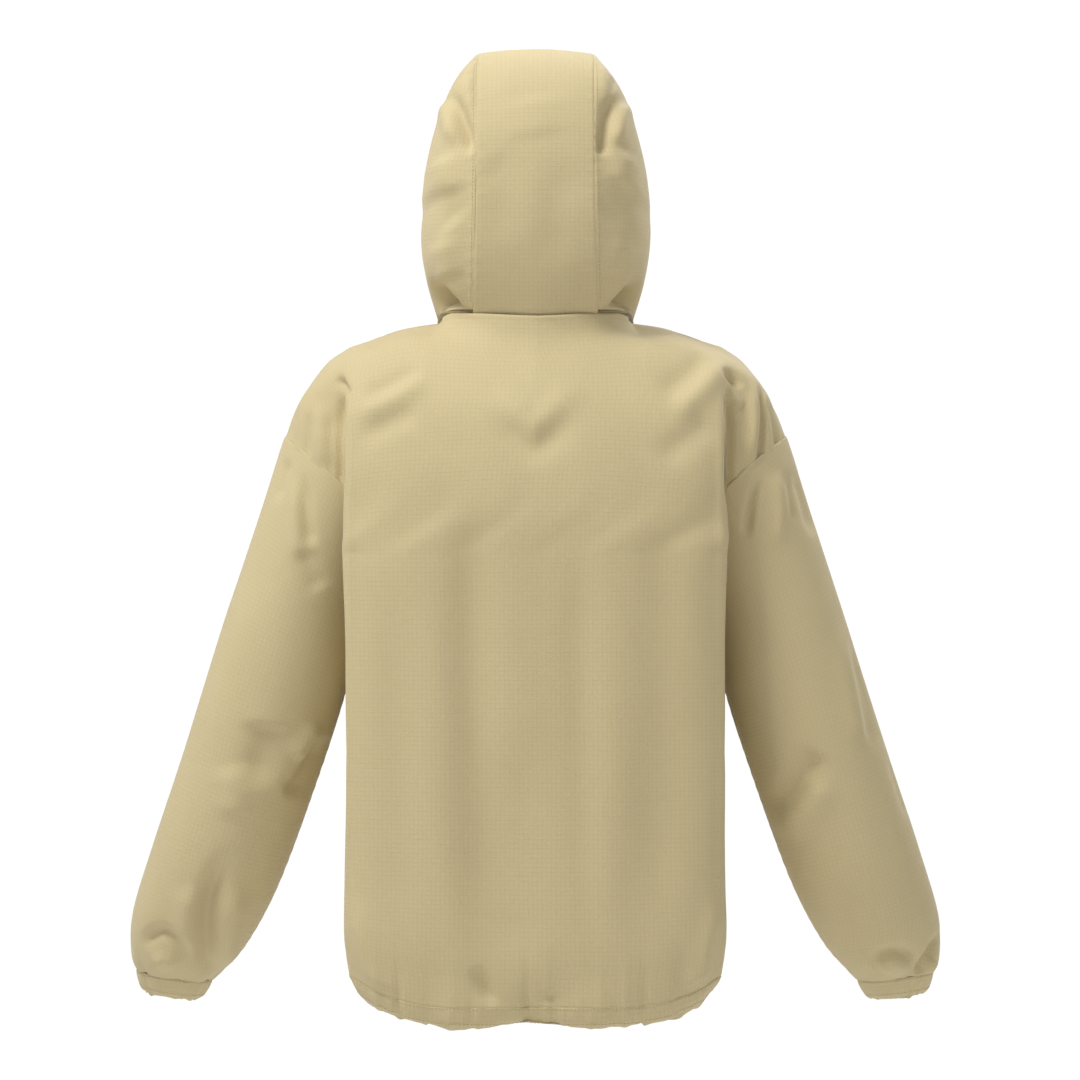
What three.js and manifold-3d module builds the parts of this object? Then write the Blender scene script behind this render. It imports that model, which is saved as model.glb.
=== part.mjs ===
// A hooded beekeeping jacket: a loose pull-in hem, dropped shoulders, long sleeves with elastic cuffs, a hood of
// three panels with a mesh veil, a straight front zip, a neck zip that frees the hood, and three patch pockets.
//
// Millimetres, +Z up, the wearer faces -Y, and +X is the wearer's left. The origin is the middle of the neck, level
// with the shoulder ends of the neckline. Every cloth piece is a panel: a surface lofted through a few rows and given
// the cloth's thickness. Neighbours are lofted from the same seam points and keep the seam gap between them.
import * as THREE from "three";
import { mergeVertices } from "three/addons/utils/BufferGeometryUtils.js";
import Module from "manifold-3d";

const wasm = await Module();
wasm.setup();

// ---------------------------------------------------------------- driving dimensions
const CLOTH = 1.6; // thickness of the shell cloth, with its lining
const MESH_CLOTH = 1.2; // thickness of the veil mesh
const WEBBING = 1.2; // thickness of tapes and elastics
const SEAM_GAP = 0.5; // between two pieces that are sewn edge to edge
const FOLD_TRIM = CLOTH; // taken off an edge that meets its neighbour at an angle, so that the corners clear
const NECK_TRIM = 2.8; // taken off the body's cloth below the neck zip's tape
const ARMHOLE_TRIM = 2.8; // between the armhole and the first ring of the sleeve
const LAYER_GAP = 1; // between two layers that lie on each other

const BODY_LENGTH = 690; // back neckline to the lower edge of the hem
const BODY_HALF_WIDTH = 187; // at the hips
const BACK_DEPTH = 133; // neck centre to the shoulder blades
const HEM_HEIGHT = 22;
const HEM_PULL_IN = 20; // how far the hem elastic draws the sides in

const NECK_RADIUS = 97;
const NECK_TILT = THREE.MathUtils.degToRad(35); // of the front of the neckline, below level
const NECK_FRONT_ARC = 85; // degrees each side of the front that lie on one circle
const NECK_BAND = 9.8; // half the height of the neck zip with its tapes, at the front
const NECK_BAND_BACK = 4.5; // and at the back

const SHOULDER_HALF = 252; // out to the outer end of the armhole seam
const SHOULDER_DROP = 125; // from the neck down to it
const ARMHOLE_RISE = 110; // from the underarm up to it, and out to it
const SLEEVE_TOP = new THREE.Vector3(SHOULDER_HALF, 0, -SHOULDER_DROP);
const SLEEVE_UNDER = SLEEVE_TOP.clone().add(new THREE.Vector3(-ARMHOLE_RISE, 0, -ARMHOLE_RISE));
const ARMHOLE_DEPTH = 70; // half of it, front to back
const CUFF_HALF_WIDTH = 38;
const CUFF_HEIGHT = 21;

const HOOD_SEAM_HALF = 57.5; // half the width of the hood's middle panel at its narrowest
const HOOD_SEAM_FLARE = 4.5; // how much wider it is at its ends
const BINDING_WIDTH = 9;
const NECK_BACK_SEAM = 180 - THREE.MathUtils.radToDeg(Math.asin((HOOD_SEAM_HALF + HOOD_SEAM_FLARE) / NECK_RADIUS));

const ZIP_HALF_TAPE = 11.4; // middle of the zip to the outer edge of one tape
const ZIP_END_CLEAR = 3; // between the lower end of the zip and the lower edge of the hem
const CHAIN_INNER = 0.8; // middle of the zip to the tips of its teeth
const CHAIN_OUTER = 2.6;
const CHAIN_THICK = 2.4;
const SLIDER_CLEAR = 1; // between the teeth and the slider's plates
const SLIDER_PLATE = 1.2;

// ---------------------------------------------------------------- helpers
const V = (x, y, z) => new THREE.Vector3(x, y, z);
const rad = THREE.MathUtils.degToRad;
const flipX = (p) => V(-p.x, p.y, p.z);
const mirrored = (surface) => (u, v) => flipX(surface(u, v));
const ease = (t) => THREE.MathUtils.smoothstep(t, 0, 1);

const smooth = (points) => new THREE.CatmullRomCurve3(points, false, "catmullrom", 0.5);
const clamp01 = (t) => THREE.MathUtils.clamp(t, 0, 1);

/** A row through points, for u from 0 to 1, evenly along its length. */
function through(...stretches) {
  const row = new THREE.CurvePath();
  stretches.forEach((points) => row.add(smooth(points)));
  return (u) => row.getPointAt(clamp01(u));
}

/** A surface through rows, which are functions of u, for v from 0 at the first row to 1 at the last. */
function loft(rows) {
  return (u, v) => smooth(rows.map((row) => row(u))).getPoint(clamp01(v));
}

/** A surface with its edge at u 0 moved onto another curve, and the rest eased after it. */
function pinned(surface, edge) {
  return (u, v) => surface(u, v).addScaledVector(edge(v).sub(surface(0, v)), (1 - u) ** 4);
}

/** A surface drawn in from its edges by distances in millimetres. */
function trimmed(surface, { u0 = 0, u1 = 0, v0 = 0, v1 = 0 }) {
  const e = 0.01;
  const share = (distance, a, b) => (distance * e) / a.distanceTo(b);
  return (u, v) => {
    const low = share(v0, surface(u, 0), surface(u, e));
    const high = share(v1, surface(u, 1), surface(u, 1 - e));
    const w = low + (1 - low - high) * v;
    const left = share(u0, surface(0, w), surface(e, w));
    const right = share(u1, surface(1, w), surface(1 - e, w));
    return surface(left + (1 - left - right) * u, w);
  };
}

/** The part of a surface between u0 and u1 and between v0 and v1. */
function within(surface, u0, u1, v0, v1) {
  return (u, v) => surface(u0 + (u1 - u0) * u, v0 + (v1 - v0) * v);
}

/** The unit normal of a surface, on the side where u, v and it are right-handed. */
function normalOf(surface, u, v, closedU = false) {
  const e = 1e-3;
  const [a, b] = closedU ? [u - e, u + e] : [Math.max(0, u - e), Math.min(1, u + e)];
  const [c, d] = [Math.max(0, v - e), Math.min(1, v + e)];
  const along = surface(b, v).sub(surface(a, v));
  const up = surface(u, d).sub(surface(u, c));
  return along.cross(up).normalize();
}

/** A surface moved along its own normal. */
function offset(surface, distance, closedU = false) {
  return (u, v) => surface(u, v).addScaledVector(normalOf(surface, u, v, closedU), distance);
}

/** A closed sheet of the surface's shape: a subdivided box bent onto it. */
function sheet(surface, nu, nv, thickness = CLOTH) {
  const geometry = new THREE.BoxGeometry(1, 1, 1, nu, nv, 1);
  const at = geometry.attributes.position;
  for (let i = 0; i < at.count; i++) {
    const [u, v] = [at.getX(i) + 0.5, at.getY(i) + 0.5];
    const p = surface(u, v).addScaledVector(normalOf(surface, u, v), at.getZ(i) * thickness);
    at.setXYZ(i, p.x, p.y, p.z);
  }
  return bare(geometry);
}

/** The same for a tube that closes on itself in u: a lathed ring bent onto it. */
function tube(surface, nu, nv, thickness = CLOTH) {
  const profile = [];
  for (let i = 0; i <= nv; i++) profile.push(new THREE.Vector2(2, i / nv));
  for (let i = nv; i >= 0; i--) profile.push(new THREE.Vector2(1, i / nv));
  profile.push(profile[0].clone());
  const geometry = new THREE.LatheGeometry(profile, nu);
  const at = geometry.attributes.position;
  for (let i = 0; i < at.count; i++) {
    const u = (Math.atan2(at.getX(i), at.getZ(i)) / (2 * Math.PI) + 1) % 1;
    const side = Math.hypot(at.getX(i), at.getZ(i)) - 1.5;
    const v = at.getY(i);
    const p = surface(u, v).addScaledVector(normalOf(surface, u, v, true), side * thickness);
    at.setXYZ(i, p.x, p.y, p.z);
  }
  return bare(geometry);
}

/** The geometry with shared corners and no attribute but position, wound so that its faces point out. */
function bare(geometry) {
  geometry.deleteAttribute("normal");
  geometry.deleteAttribute("uv");
  const merged = mergeVertices(geometry, 1e-3);
  const corners = Array.from(merged.index.array);
  const kept = [];
  for (let i = 0; i < corners.length; i += 3) {
    const [a, b, c] = corners.slice(i, i + 3);
    if (a !== b && b !== c && c !== a) kept.push(a, b, c);
  }
  merged.setIndex(kept);
  if (signedVolume(merged) < 0) {
    for (let i = 0; i < kept.length; i += 3) [kept[i + 1], kept[i + 2]] = [kept[i + 2], kept[i + 1]];
    merged.setIndex(kept);
  }
  return merged;
}

function signedVolume(geometry) {
  const at = geometry.attributes.position;
  const corner = (k) => V().fromBufferAttribute(at, geometry.index.array[k]);
  let sum = 0;
  for (let i = 0; i < geometry.index.count; i += 3) {
    sum += corner(i).dot(corner(i + 1).cross(corner(i + 2)));
  }
  return sum;
}

/** A box from its low corner to its high one. */
function block(low, high) {
  const size = high.clone().sub(low);
  const made = new THREE.BoxGeometry(size.x, size.y, size.z);
  const middle = low.clone().add(high).multiplyScalar(0.5);
  return made.translate(middle.x, middle.y, middle.z);
}

/** Overlapping geometries joined into one solid. */
function joined(...geometries) {
  const solids = geometries.map((geometry) => {
    const g = bare(geometry.clone());
    return new wasm.Manifold(
      new wasm.Mesh({
        numProp: 3,
        vertProperties: g.attributes.position.array,
        triVerts: new Uint32Array(g.index.array),
      }),
    );
  });
  const whole = solids.reduce((a, b) => a.add(b)).getMesh();
  const made = new THREE.BufferGeometry();
  made.setAttribute("position", new THREE.BufferAttribute(Float32Array.from(whole.vertProperties), 3));
  made.setIndex(Array.from(whole.triVerts));
  return made;
}

const material = (color, roughness, metalness = 0) =>
  new THREE.MeshStandardMaterial({ color, roughness, metalness });
const SHELL = material(0xc9b88c, 0.85);
const LINING = material(0xb9a97e, 0.9);
const BLACK_MESH = material(0x15150f, 0.7);
const TAPE = material(0xa89a6f, 0.9);
const TEETH = material(0x7d7048, 0.45);
const ELASTIC = material(0xe8e4d8, 0.8);
const BONING = material(0xdedbd0, 0.5);

const jacket = new THREE.Group();

function add(name, geometry, look, parent = jacket) {
  const mesh = new THREE.Mesh(geometry, look);
  mesh.name = name;
  parent.add(mesh);
  return mesh;
}

// ---------------------------------------------------------------- neckline
// turn is the angle from the front, in degrees, and 180 is the back. The front arc lies on one circle tilted by
// NECK_TILT about NECK_CENTRE, so that a slider can run round it.
const NECK_CENTRE = V(0, -2, -10);
const NECK_AXIS = V(0, -Math.sin(NECK_TILT), Math.cos(NECK_TILT));
const NECK_SIDE_LEVEL = 0;
const NECK_BACK_DIP = 5;
const NECK_SIDE_TURN = 110;

function neckHeight(turn) {
  const onCircle = (t) => NECK_CENTRE.z - NECK_RADIUS * Math.sin(NECK_TILT) * Math.cos(rad(t));
  if (turn <= NECK_FRONT_ARC) return onCircle(turn);
  if (turn >= NECK_SIDE_TURN) {
    const t = (turn - NECK_SIDE_TURN) / (180 - NECK_SIDE_TURN);
    return NECK_SIDE_LEVEL - NECK_BACK_DIP * ease(t);
  }
  const span = NECK_SIDE_TURN - NECK_FRONT_ARC;
  const t = (turn - NECK_FRONT_ARC) / span;
  const slope = NECK_RADIUS * Math.sin(NECK_TILT) * Math.sin(rad(NECK_FRONT_ARC)) * rad(span);
  const [h00, h10, h01] = [2 * t ** 3 - 3 * t ** 2 + 1, t ** 3 - 2 * t ** 2 + t, 3 * t ** 2 - 2 * t ** 3];
  return h00 * onCircle(NECK_FRONT_ARC) + h10 * slope + h01 * NECK_SIDE_LEVEL;
}

/** A point of the neckline, raised along the neck band. */
function neck(turn, raised = 0) {
  const side = turn < 0 ? -1 : 1;
  const t = Math.abs(turn);
  const p = V(
    side * NECK_RADIUS * Math.sin(rad(t)),
    NECK_CENTRE.y - NECK_RADIUS * Math.cos(NECK_TILT) * Math.cos(rad(t)),
    neckHeight(t),
  );
  return p.addScaledVector(bandDirection(t), raised);
}

const backShare = (turn) => ease((Math.abs(turn) - NECK_FRONT_ARC) / (NECK_SIDE_TURN - NECK_FRONT_ARC));
const bandDirection = (turn) => NECK_AXIS.clone().lerp(V(0, 0.1, 1), backShare(turn)).normalize();
const bandHalf = (turn) => THREE.MathUtils.lerp(NECK_BAND, NECK_BAND_BACK, backShare(turn));
/** Where the body's cloth ends, and where the hood's begins. */
const bodyNeck = (turn) => neck(turn, -bandHalf(turn) - CLOTH);
const hoodNeck = (turn) => neck(turn, bandHalf(turn));

// ---------------------------------------------------------------- body panels
// The front zip is straight, from its top at the neckline down to the hem.
const ZIP_TOP = neck(0, -NECK_BAND);
const ZIP_SLOPE = 0.1026; // how far it runs forward for each millimetre down
const ZIP_ANGLE = Math.atan(ZIP_SLOPE);
const zipY = (z) => ZIP_TOP.y + (z - ZIP_TOP.z) * ZIP_SLOPE;
const FRONT_EDGE = ZIP_HALF_TAPE + SEAM_GAP; // the front panels end here, beside the zip tape
const HEM_BOTTOM = -NECK_BACK_DIP - BODY_LENGTH;
const HEM_TOP = HEM_BOTTOM + HEM_HEIGHT;
const ZIP_LENGTH = (ZIP_TOP.z - HEM_BOTTOM - ZIP_END_CLEAR) / Math.cos(ZIP_ANGLE);
const SHOULDER_TURN = 100; // where the shoulder seam meets the neckline

/** A point of the armhole seam. angle 0 is its top, 90 its back, 180 the underarm and -90 its front. */
function armhole(angle, out = 0) {
  const middle = SLEEVE_TOP.clone().add(SLEEVE_UNDER).multiplyScalar(0.5);
  const half = SLEEVE_TOP.clone().sub(SLEEVE_UNDER).multiplyScalar(0.5);
  const away = V(half.z, 0, -half.x).normalize(); // down the arm
  return middle
    .addScaledVector(half, Math.cos(rad(angle)))
    .addScaledVector(V(0, 1, 0), ARMHOLE_DEPTH * Math.sin(rad(angle)))
    .addScaledVector(away, out);
}

const power = (x, n) => Math.sign(x) * Math.abs(x) ** n;
const QUARTER_POINTS = 12;
const TUCK_REACH = 0.4; // of a quarter of the body

/** A quarter of the body at height z, from the side seam at u 0 to the middle at u 1. tuck draws the side in under
 *  the arm, and squareness 2 is an ellipse. */
function quarter({ z, half, depth, tuck = 0, squareness = 3, middle = 0 }) {
  const points = [];
  for (let i = 0; i <= QUARTER_POINTS; i++) {
    const t = i / QUARTER_POINTS;
    const a = (t * Math.PI) / 2;
    const side = tuck * Math.exp(-((t / TUCK_REACH) ** 4));
    const x = middle + (half - middle) * power(Math.cos(a), 2 / squareness) - side;
    points.push(V(x, depth * power(Math.sin(a), 2 / squareness), z));
  }
  return through(points);
}

// Rows of the body below the armholes, from the hem up: height, half width, depth of the back, tuck under the arm.
const betweenHemAndArm = (share) => THREE.MathUtils.lerp(HEM_TOP, SLEEVE_UNDER.z, share);
const LOWER_ROWS = [
  [HEM_TOP + SEAM_GAP, BODY_HALF_WIDTH - 6, BACK_DEPTH - 11, 0],
  [betweenHemAndArm(0.145), BODY_HALF_WIDTH + 3, BACK_DEPTH - 4, 0],
  [betweenHemAndArm(0.42), BODY_HALF_WIDTH + 1, BACK_DEPTH - 2, 0],
  [betweenHemAndArm(0.67), BODY_HALF_WIDTH - 2, BACK_DEPTH, 4],
  [betweenHemAndArm(0.85), BODY_HALF_WIDTH - 6, BACK_DEPTH + 1, BODY_HALF_WIDTH - 7 - SLEEVE_UNDER.x],
  [SLEEVE_UNDER.z, BODY_HALF_WIDTH - 8, BACK_DEPTH + 2, BODY_HALF_WIDTH - 8 - SLEEVE_UNDER.x],
];

const SHOULDER_SEAM = [SLEEVE_TOP.clone(), V(241, 3, -79), V(197, 8, -30), bodyNeck(SHOULDER_TURN)];
const neckRow = (...turns) => turns.map(bodyNeck);

/** A point beside the neckline, moved from it. */
const byNeck = (turn, x, y, z) => bodyNeck(turn).add(V(x, y, z));

/** The rows of the back above the underarm, each from the armhole to the middle. */
const backYoke = [
  [armhole(125), V(174, 80, -205), V(168, 104, -198), V(142, 121, -194), V(98, 130, -192), V(50, 134, -190), V(0, 135, -190)],
  [armhole(85), V(197, 84, -160), V(180, 100, -150), V(147, 113, -144), V(100, 122, -141), V(50, 127, -139), V(0, 128, -138)],
  [armhole(48), V(226, 64, -115), V(198, 77, -96), V(152, 91, -88), V(102, 103, -86), V(52, 111, -86), V(0, 114, -86)],
  [armhole(20), V(239, 36, -86), V(200, 46, -48), V(130, 56, -28), byNeck(127, 15, 24, -23), byNeck(153, 4, 15, -24), byNeck(180, 0, 12, -25)],
];
const ARMHOLE_ANGLES = [180, 125, 85, 48, 20, 0]; // at the rows from the underarm up

/** The same for the left front, each from the armhole to the zip. */
const frontYoke = [
  [armhole(-125), V(173, -74, -209), V(167, -92, -206), V(142, -104, -205), V(100, -106, -205), V(56, -99, -205)],
  [armhole(-85), V(196, -80, -166), V(177, -90, -160), V(143, -98, -158), V(100, -100, -158), V(56, -94, -158)],
  [armhole(-48), V(225, -58, -122), V(197, -67, -110), V(151, -78, -106), V(103, -86, -108), V(56, -86, -114)],
  [armhole(-20), V(238, -28, -90), V(198, -34, -56), V(140, -42, -48), byNeck(72, 12, -34, -25), byNeck(39, -1, -13, -22)],
];
const FRONT_YOKE_HEIGHTS = [-205, -158, -120, ZIP_TOP.z - 22];

/** The side seam up to the underarm, and from there one side of the armhole. */
function bodyEdge(surface, side) {
  const first = LOWER_ROWS.length - 1;
  return (v) => {
    const row = v * (first + ARMHOLE_ANGLES.length - 1) - first;
    if (row <= 0) return surface(0, v).setY(0);
    const k = Math.min(Math.floor(row), ARMHOLE_ANGLES.length - 2);
    const angle = THREE.MathUtils.lerp(ARMHOLE_ANGLES[k], ARMHOLE_ANGLES[k + 1], row - k);
    return armhole(side * angle);
  };
}

const looseBack = loft([
  ...LOWER_ROWS.map(([z, half, depth, tuck]) => quarter({ z, half, depth, tuck })),
  ...backYoke.map((row) => through(row)),
  through(SHOULDER_SEAM, neckRow(SHOULDER_TURN, 114, 127, 140, 153, 166, 180)),
]);
const halfBack = pinned(looseBack, bodyEdge(looseBack, 1));
/** u runs from the left side seam, across the back, to the right one. */
const backSurface = (u, v) => (u <= 0.5 ? halfBack(2 * u, v) : flipX(halfBack(2 - 2 * u, v)));

const looseFront = loft([
  ...LOWER_ROWS.map(([z, half, , tuck]) =>
    quarter({ z, half, tuck, depth: zipY(z), squareness: 2.7, middle: FRONT_EDGE }),
  ),
  ...frontYoke.map((row, i) => {
    const z = FRONT_YOKE_HEIGHTS[i];
    return through([...row, V(FRONT_EDGE, zipY(z), z)]);
  }),
  through(SHOULDER_SEAM, neckRow(SHOULDER_TURN, 86, 72, 56, 39, 22, 7)),
]);
const leftFront = pinned(looseFront, bodyEdge(looseFront, -1));
const OUT_LEFT = -1; // the left front's normal points inwards, and its mirror image's outwards

add("back_panel", sheet(trimmed(backSurface, { u0: FOLD_TRIM, u1: FOLD_TRIM, v1: NECK_TRIM }), 24, 20), SHELL);
const frontTrim = trimmed(leftFront, { u0: FOLD_TRIM, v1: NECK_TRIM });
add("front_panel_left", sheet(frontTrim, 12, 20), SHELL);
add("front_panel_right", sheet(mirrored(frontTrim), 12, 20), SHELL);

// ---------------------------------------------------------------- hem: a folded casing with elastic inside
/** Round the hem from the left of the zip, by the back, to its right. */
function hemPath(height, inwards) {
  const t = 1 - height; // 0 at the panels, 1 at the lower edge
  const z = HEM_TOP - HEM_HEIGHT * t;
  const half = BODY_HALF_WIDTH - 6 - HEM_PULL_IN * 0.9 * t ** 1.3 - inwards;
  const back = quarter({ z, half, depth: BACK_DEPTH - 11 - 7 * t - inwards });
  const front = quarter({ z, half, depth: zipY(z) + inwards, squareness: 2.7, middle: FRONT_EDGE });
  return (u) => {
    const q = u * 4;
    if (q <= 1) return front(1 - q);
    if (q <= 2) return back(q - 1);
    if (q <= 3) return flipX(back(3 - q));
    return flipX(front(q - 3));
  };
}
const CASING_ROOM = 5; // between the casing's two layers
const casing = loft([
  hemPath(1, 0),
  hemPath(0.5, 0),
  hemPath(0.14, 0),
  hemPath(0.03, CASING_ROOM * 0.5),
  hemPath(0.14, CASING_ROOM),
  hemPath(0.5, CASING_ROOM),
  hemPath(0.92, CASING_ROOM),
]);
add("hem_casing", sheet(casing, 40, 8, CLOTH * 0.75), SHELL);
const elastic = loft([hemPath(0.24, CASING_ROOM * 0.5), hemPath(0.9, CASING_ROOM * 0.5)]);
add("hem_elastic", sheet(elastic, 40, 1, WEBBING), ELASTIC);

// ---------------------------------------------------------------- sleeves and cuffs
/** A ring round the arm. lean is the angle of its outer end above level, across the arm. */
function armRing(x, y, z, lean, across, deep) {
  const slope = V(Math.cos(rad(lean)), 0, Math.sin(rad(lean)));
  return (u) => {
    const a = 2 * Math.PI * u;
    return V(x, y, z)
      .addScaledVector(slope, across * Math.cos(a))
      .addScaledVector(V(0, 1, 0), deep * Math.sin(a));
  };
}
const CUFF_TOP = { x: BODY_HALF_WIDTH + 179, y: -46, z: -668, lean: 8 };
const armRings = [
  (u) => armhole(360 * u, ARMHOLE_TRIM),
  armRing(BODY_HALF_WIDTH + 40, -2, -256, 33, 67, 68),
  armRing(BODY_HALF_WIDTH + 67, -4, -350, 24, 69, 69),
  armRing(BODY_HALF_WIDTH + 101, -9, -455, 20, 68, 68),
  armRing(BODY_HALF_WIDTH + 135, -20, -550, 18, 66, 65),
  armRing(BODY_HALF_WIDTH + 161, -33, -612, 15, 60, 58),
  armRing(BODY_HALF_WIDTH + 175, -42, -648, 10, 46, 44),
  armRing(CUFF_TOP.x, CUFF_TOP.y, CUFF_TOP.z, CUFF_TOP.lean, CUFF_HALF_WIDTH, CUFF_HALF_WIDTH - 2),
];
const leftSleeve = loft(armRings);

/** A ring of the cuff, height 1 at the sleeve and 0 at the lower edge. */
function cuffRing(height, inwards) {
  const drop = SEAM_GAP + (1 - height) * CUFF_HEIGHT;
  const half = CUFF_HALF_WIDTH + 1.5 * (1 - height) - inwards;
  const down = V(Math.sin(rad(CUFF_TOP.lean)), -0.12, -Math.cos(rad(CUFF_TOP.lean))).normalize();
  const at = V(CUFF_TOP.x, CUFF_TOP.y, CUFF_TOP.z).addScaledVector(down, drop);
  return armRing(at.x, at.y, at.z, CUFF_TOP.lean, half, half - 2);
}
const leftCuff = loft([
  cuffRing(1, 0),
  cuffRing(0.5, 0),
  cuffRing(0.14, 0),
  cuffRing(0.03, CASING_ROOM * 0.5),
  cuffRing(0.14, CASING_ROOM),
  cuffRing(0.5, CASING_ROOM),
  cuffRing(0.9, CASING_ROOM),
]);
const leftCuffElastic = loft([cuffRing(0.26, CASING_ROOM * 0.5), cuffRing(0.88, CASING_ROOM * 0.5)]);

for (const [side, place] of [["left", (s) => s], ["right", mirrored]]) {
  add(`sleeve_${side}`, tube(place(leftSleeve), 18, 14), SHELL);
  add(`cuff_casing_${side}`, tube(place(leftCuff), 18, 8, CLOTH * 0.75), SHELL);
  add(`cuff_elastic_${side}`, tube(place(leftCuffElastic), 18, 1, WEBBING), ELASTIC);
}

// ---------------------------------------------------------------- hood
/** The hood's middle line, from the back of the neck over the crown to the forehead. */
const crown = new THREE.CatmullRomCurve3([
  bodyNeck(180),
  V(0, 92, 36),
  V(0, 101, 85),
  V(0, 101, 135),
  V(0, 93, 185),
  V(0, 73, 228),
  V(0, 38, 257),
  V(0, -8, 270),
  V(0, -58, 268),
  V(0, -105, 252),
]);
const CROWN_SAG = 5; // how far the seams lie before the middle line

const NECK_FIT_REACH = 0.16; // the share of the panel, from the neck up, that eases into the neckline
function crownSurface(u, v) {
  const p = crown.getPoint(v);
  const run = crown.getTangent(v);
  const side = 2 * u - 1;
  const half = HOOD_SEAM_HALF + HOOD_SEAM_FLARE * (2 * v - 1) ** 2;
  return V(side * half, p.y, p.z).addScaledVector(V(0, run.z, -run.y), -CROWN_SAG * side * side);
}

/** The middle panel, u from the right seam to the left one and v from the neck to the forehead. */
function hoodMiddle(u, v) {
  const atNeck = crownSurface(u, 0);
  const seated = bodyNeck(180 - (180 - NECK_BACK_SEAM) * Math.abs(2 * u - 1));
  if (u < 0.5) seated.x *= -1;
  return crownSurface(u, v).addScaledVector(seated.sub(atNeck), clamp01(1 - v / NECK_FIT_REACH) ** 2);
}
add("hood_centre_panel", sheet(trimmed(hoodMiddle, { v0: FOLD_TRIM }), 4, 18), SHELL);

const rearSeam = (v) => hoodMiddle(1, v).add(V(SEAM_GAP, 0, 0));
const FACE_CORNER = 38; // degrees from the front where the face opening meets the neck zip

/** A point of the hood's left side, x counted outwards from the rear seam. */
const beside = (x, y, z) => V(HOOD_SEAM_HALF + x, y, z);

/** The edge of the face opening, from the neck zip up to the forehead. */
const faceEdge = [
  hoodNeck(FACE_CORNER),
  beside(23.5, -86, 2),
  beside(34.5, -105, 50),
  beside(36.5, -116, 108),
  beside(29.5, -119, 162),
  beside(17.5, -118, 210),
  rearSeam(1),
];
const TOP_START = 6 / 9; // where the side panel's top corner lies on the rear seam
const SEAM_SHARES = [0.12, 2 / 9, 3.2 / 9, 4.3 / 9, 5.3 / 9]; // of the rear seam, at the rows between
const sideRows = [
  through([NECK_BACK_SEAM, 115, 90, 64, FACE_CORNER].map((turn) => hoodNeck(turn))),
  through([rearSeam(SEAM_SHARES[0]), beside(31.5, 62, 40), beside(50.5, 20, 42), beside(46.5, -40, 26), faceEdge[1]]),
  through([rearSeam(SEAM_SHARES[1]), beside(36.5, 74, 88), beside(56, 22, 88), beside(52.5, -45, 72), faceEdge[2]]),
  through([rearSeam(SEAM_SHARES[2]), beside(33.5, 74, 146), beside(52, 22, 144), beside(50.5, -48, 130), faceEdge[3]]),
  through([rearSeam(SEAM_SHARES[3]), beside(25.5, 66, 196), beside(40.5, 20, 193), beside(41.5, -50, 182), faceEdge[4]]),
  through([rearSeam(SEAM_SHARES[4]), beside(14.5, 52, 236), beside(24.5, 12, 232), beside(25.5, -52, 224), faceEdge[5]]),
  (u) => rearSeam(TOP_START + (1 - TOP_START) * u),
];
/** The rear seam as the side panel follows it, by the panel's own v. */
function sideRear(v) {
  const shares = [hoodBottomShare, ...SEAM_SHARES, TOP_START];
  const row = clamp01(v) * (shares.length - 1);
  const k = Math.min(Math.floor(row), shares.length - 2);
  return rearSeam(THREE.MathUtils.lerp(shares[k], shares[k + 1], row - k));
}
const hoodBottomShare = 0.028; // the side panel starts this far up the rear seam, above the neck zip
const looseHood = loft(sideRows);
const leftHood = pinned(looseHood, sideRear);
const hoodTrim = trimmed(leftHood, { u0: SEAM_GAP, v0: NECK_TRIM, v1: FOLD_TRIM });
add("hood_side_panel_left", sheet(hoodTrim, 10, 14), SHELL);
add("hood_side_panel_right", sheet(mirrored(hoodTrim), 10, 14), SHELL);

// The binding runs round the face opening between the hood's cloth and the veil.
const BINDING_FORWARD = V(-0.42, -0.9, 0).multiplyScalar(BINDING_WIDTH);
const edgeOut = through(faceEdge.map((p) => p.clone().addScaledVector(BINDING_FORWARD, 0.15)));
const edgeIn = through(faceEdge.map((p) => p.clone().add(BINDING_FORWARD)));
const CHIN_SHARE = 0.17; // of the face edge, from the neck up, that is cloth and not mesh
const browOut = (u) => hoodMiddle(u, 1).add(V(0, -0.9, -0.3));
const browIn = (u) => hoodMiddle(u, 1).add(V(0, -BINDING_WIDTH, -2.5));
const browBinding = loft([browOut, browIn]);
const sideBinding = loft([(u) => edgeOut(0.995 * u), (u) => edgeIn(0.995 * u)]);
add("veil_binding_left", sheet(within(sideBinding, 0.03, 0.985, 0, 1), 14, 1), TAPE);
add("veil_binding_right", sheet(mirrored(within(sideBinding, 0.03, 0.985, 0, 1)), 14, 1), TAPE);
add("veil_binding_brow", sheet(within(browBinding, 0.03, 0.97, 0, 1), 6, 1), TAPE);

/** A row across the face, from the left edge to the right one, with its middle at a given place. */
function faceRow(share, middle) {
  const edge = edgeIn(share).add(V(-SEAM_GAP * 2, -SEAM_GAP, 0));
  const shoulder = edge.clone().lerp(middle, 0.45).add(V(12, -16, 0));
  return through([edge, shoulder, middle, flipX(shoulder), flipX(edge)]);
}
const chinRow = faceRow(CHIN_SHARE, V(0, -124, -16));
const veil = loft([
  chinRow,
  faceRow(0.34, V(0, -158, 45)),
  faceRow(0.5, V(0, -172, 105)),
  faceRow(0.67, V(0, -168, 164)),
  faceRow(0.84, V(0, -148, 220)),
  (u) => hoodMiddle(1 - u, 1).multiply(V(0.93, 1, 1)).add(V(0, -BINDING_WIDTH - 2, -3)),
]);
add("veil_mesh", sheet(within(veil, 0, 1, 0.012, 1), 12, 12, MESH_CLOTH), BLACK_MESH);
const CHIN_CORNER = FACE_CORNER - 7; // degrees from the front, clear of the binding
const chinBottom = (u) => hoodNeck((1 - 2 * u) * CHIN_CORNER);
const chin = loft([chinBottom, (u) => chinRow(u).lerp(chinBottom(u), 0.5).add(V(0, -3, 0)), chinRow]);
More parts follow.
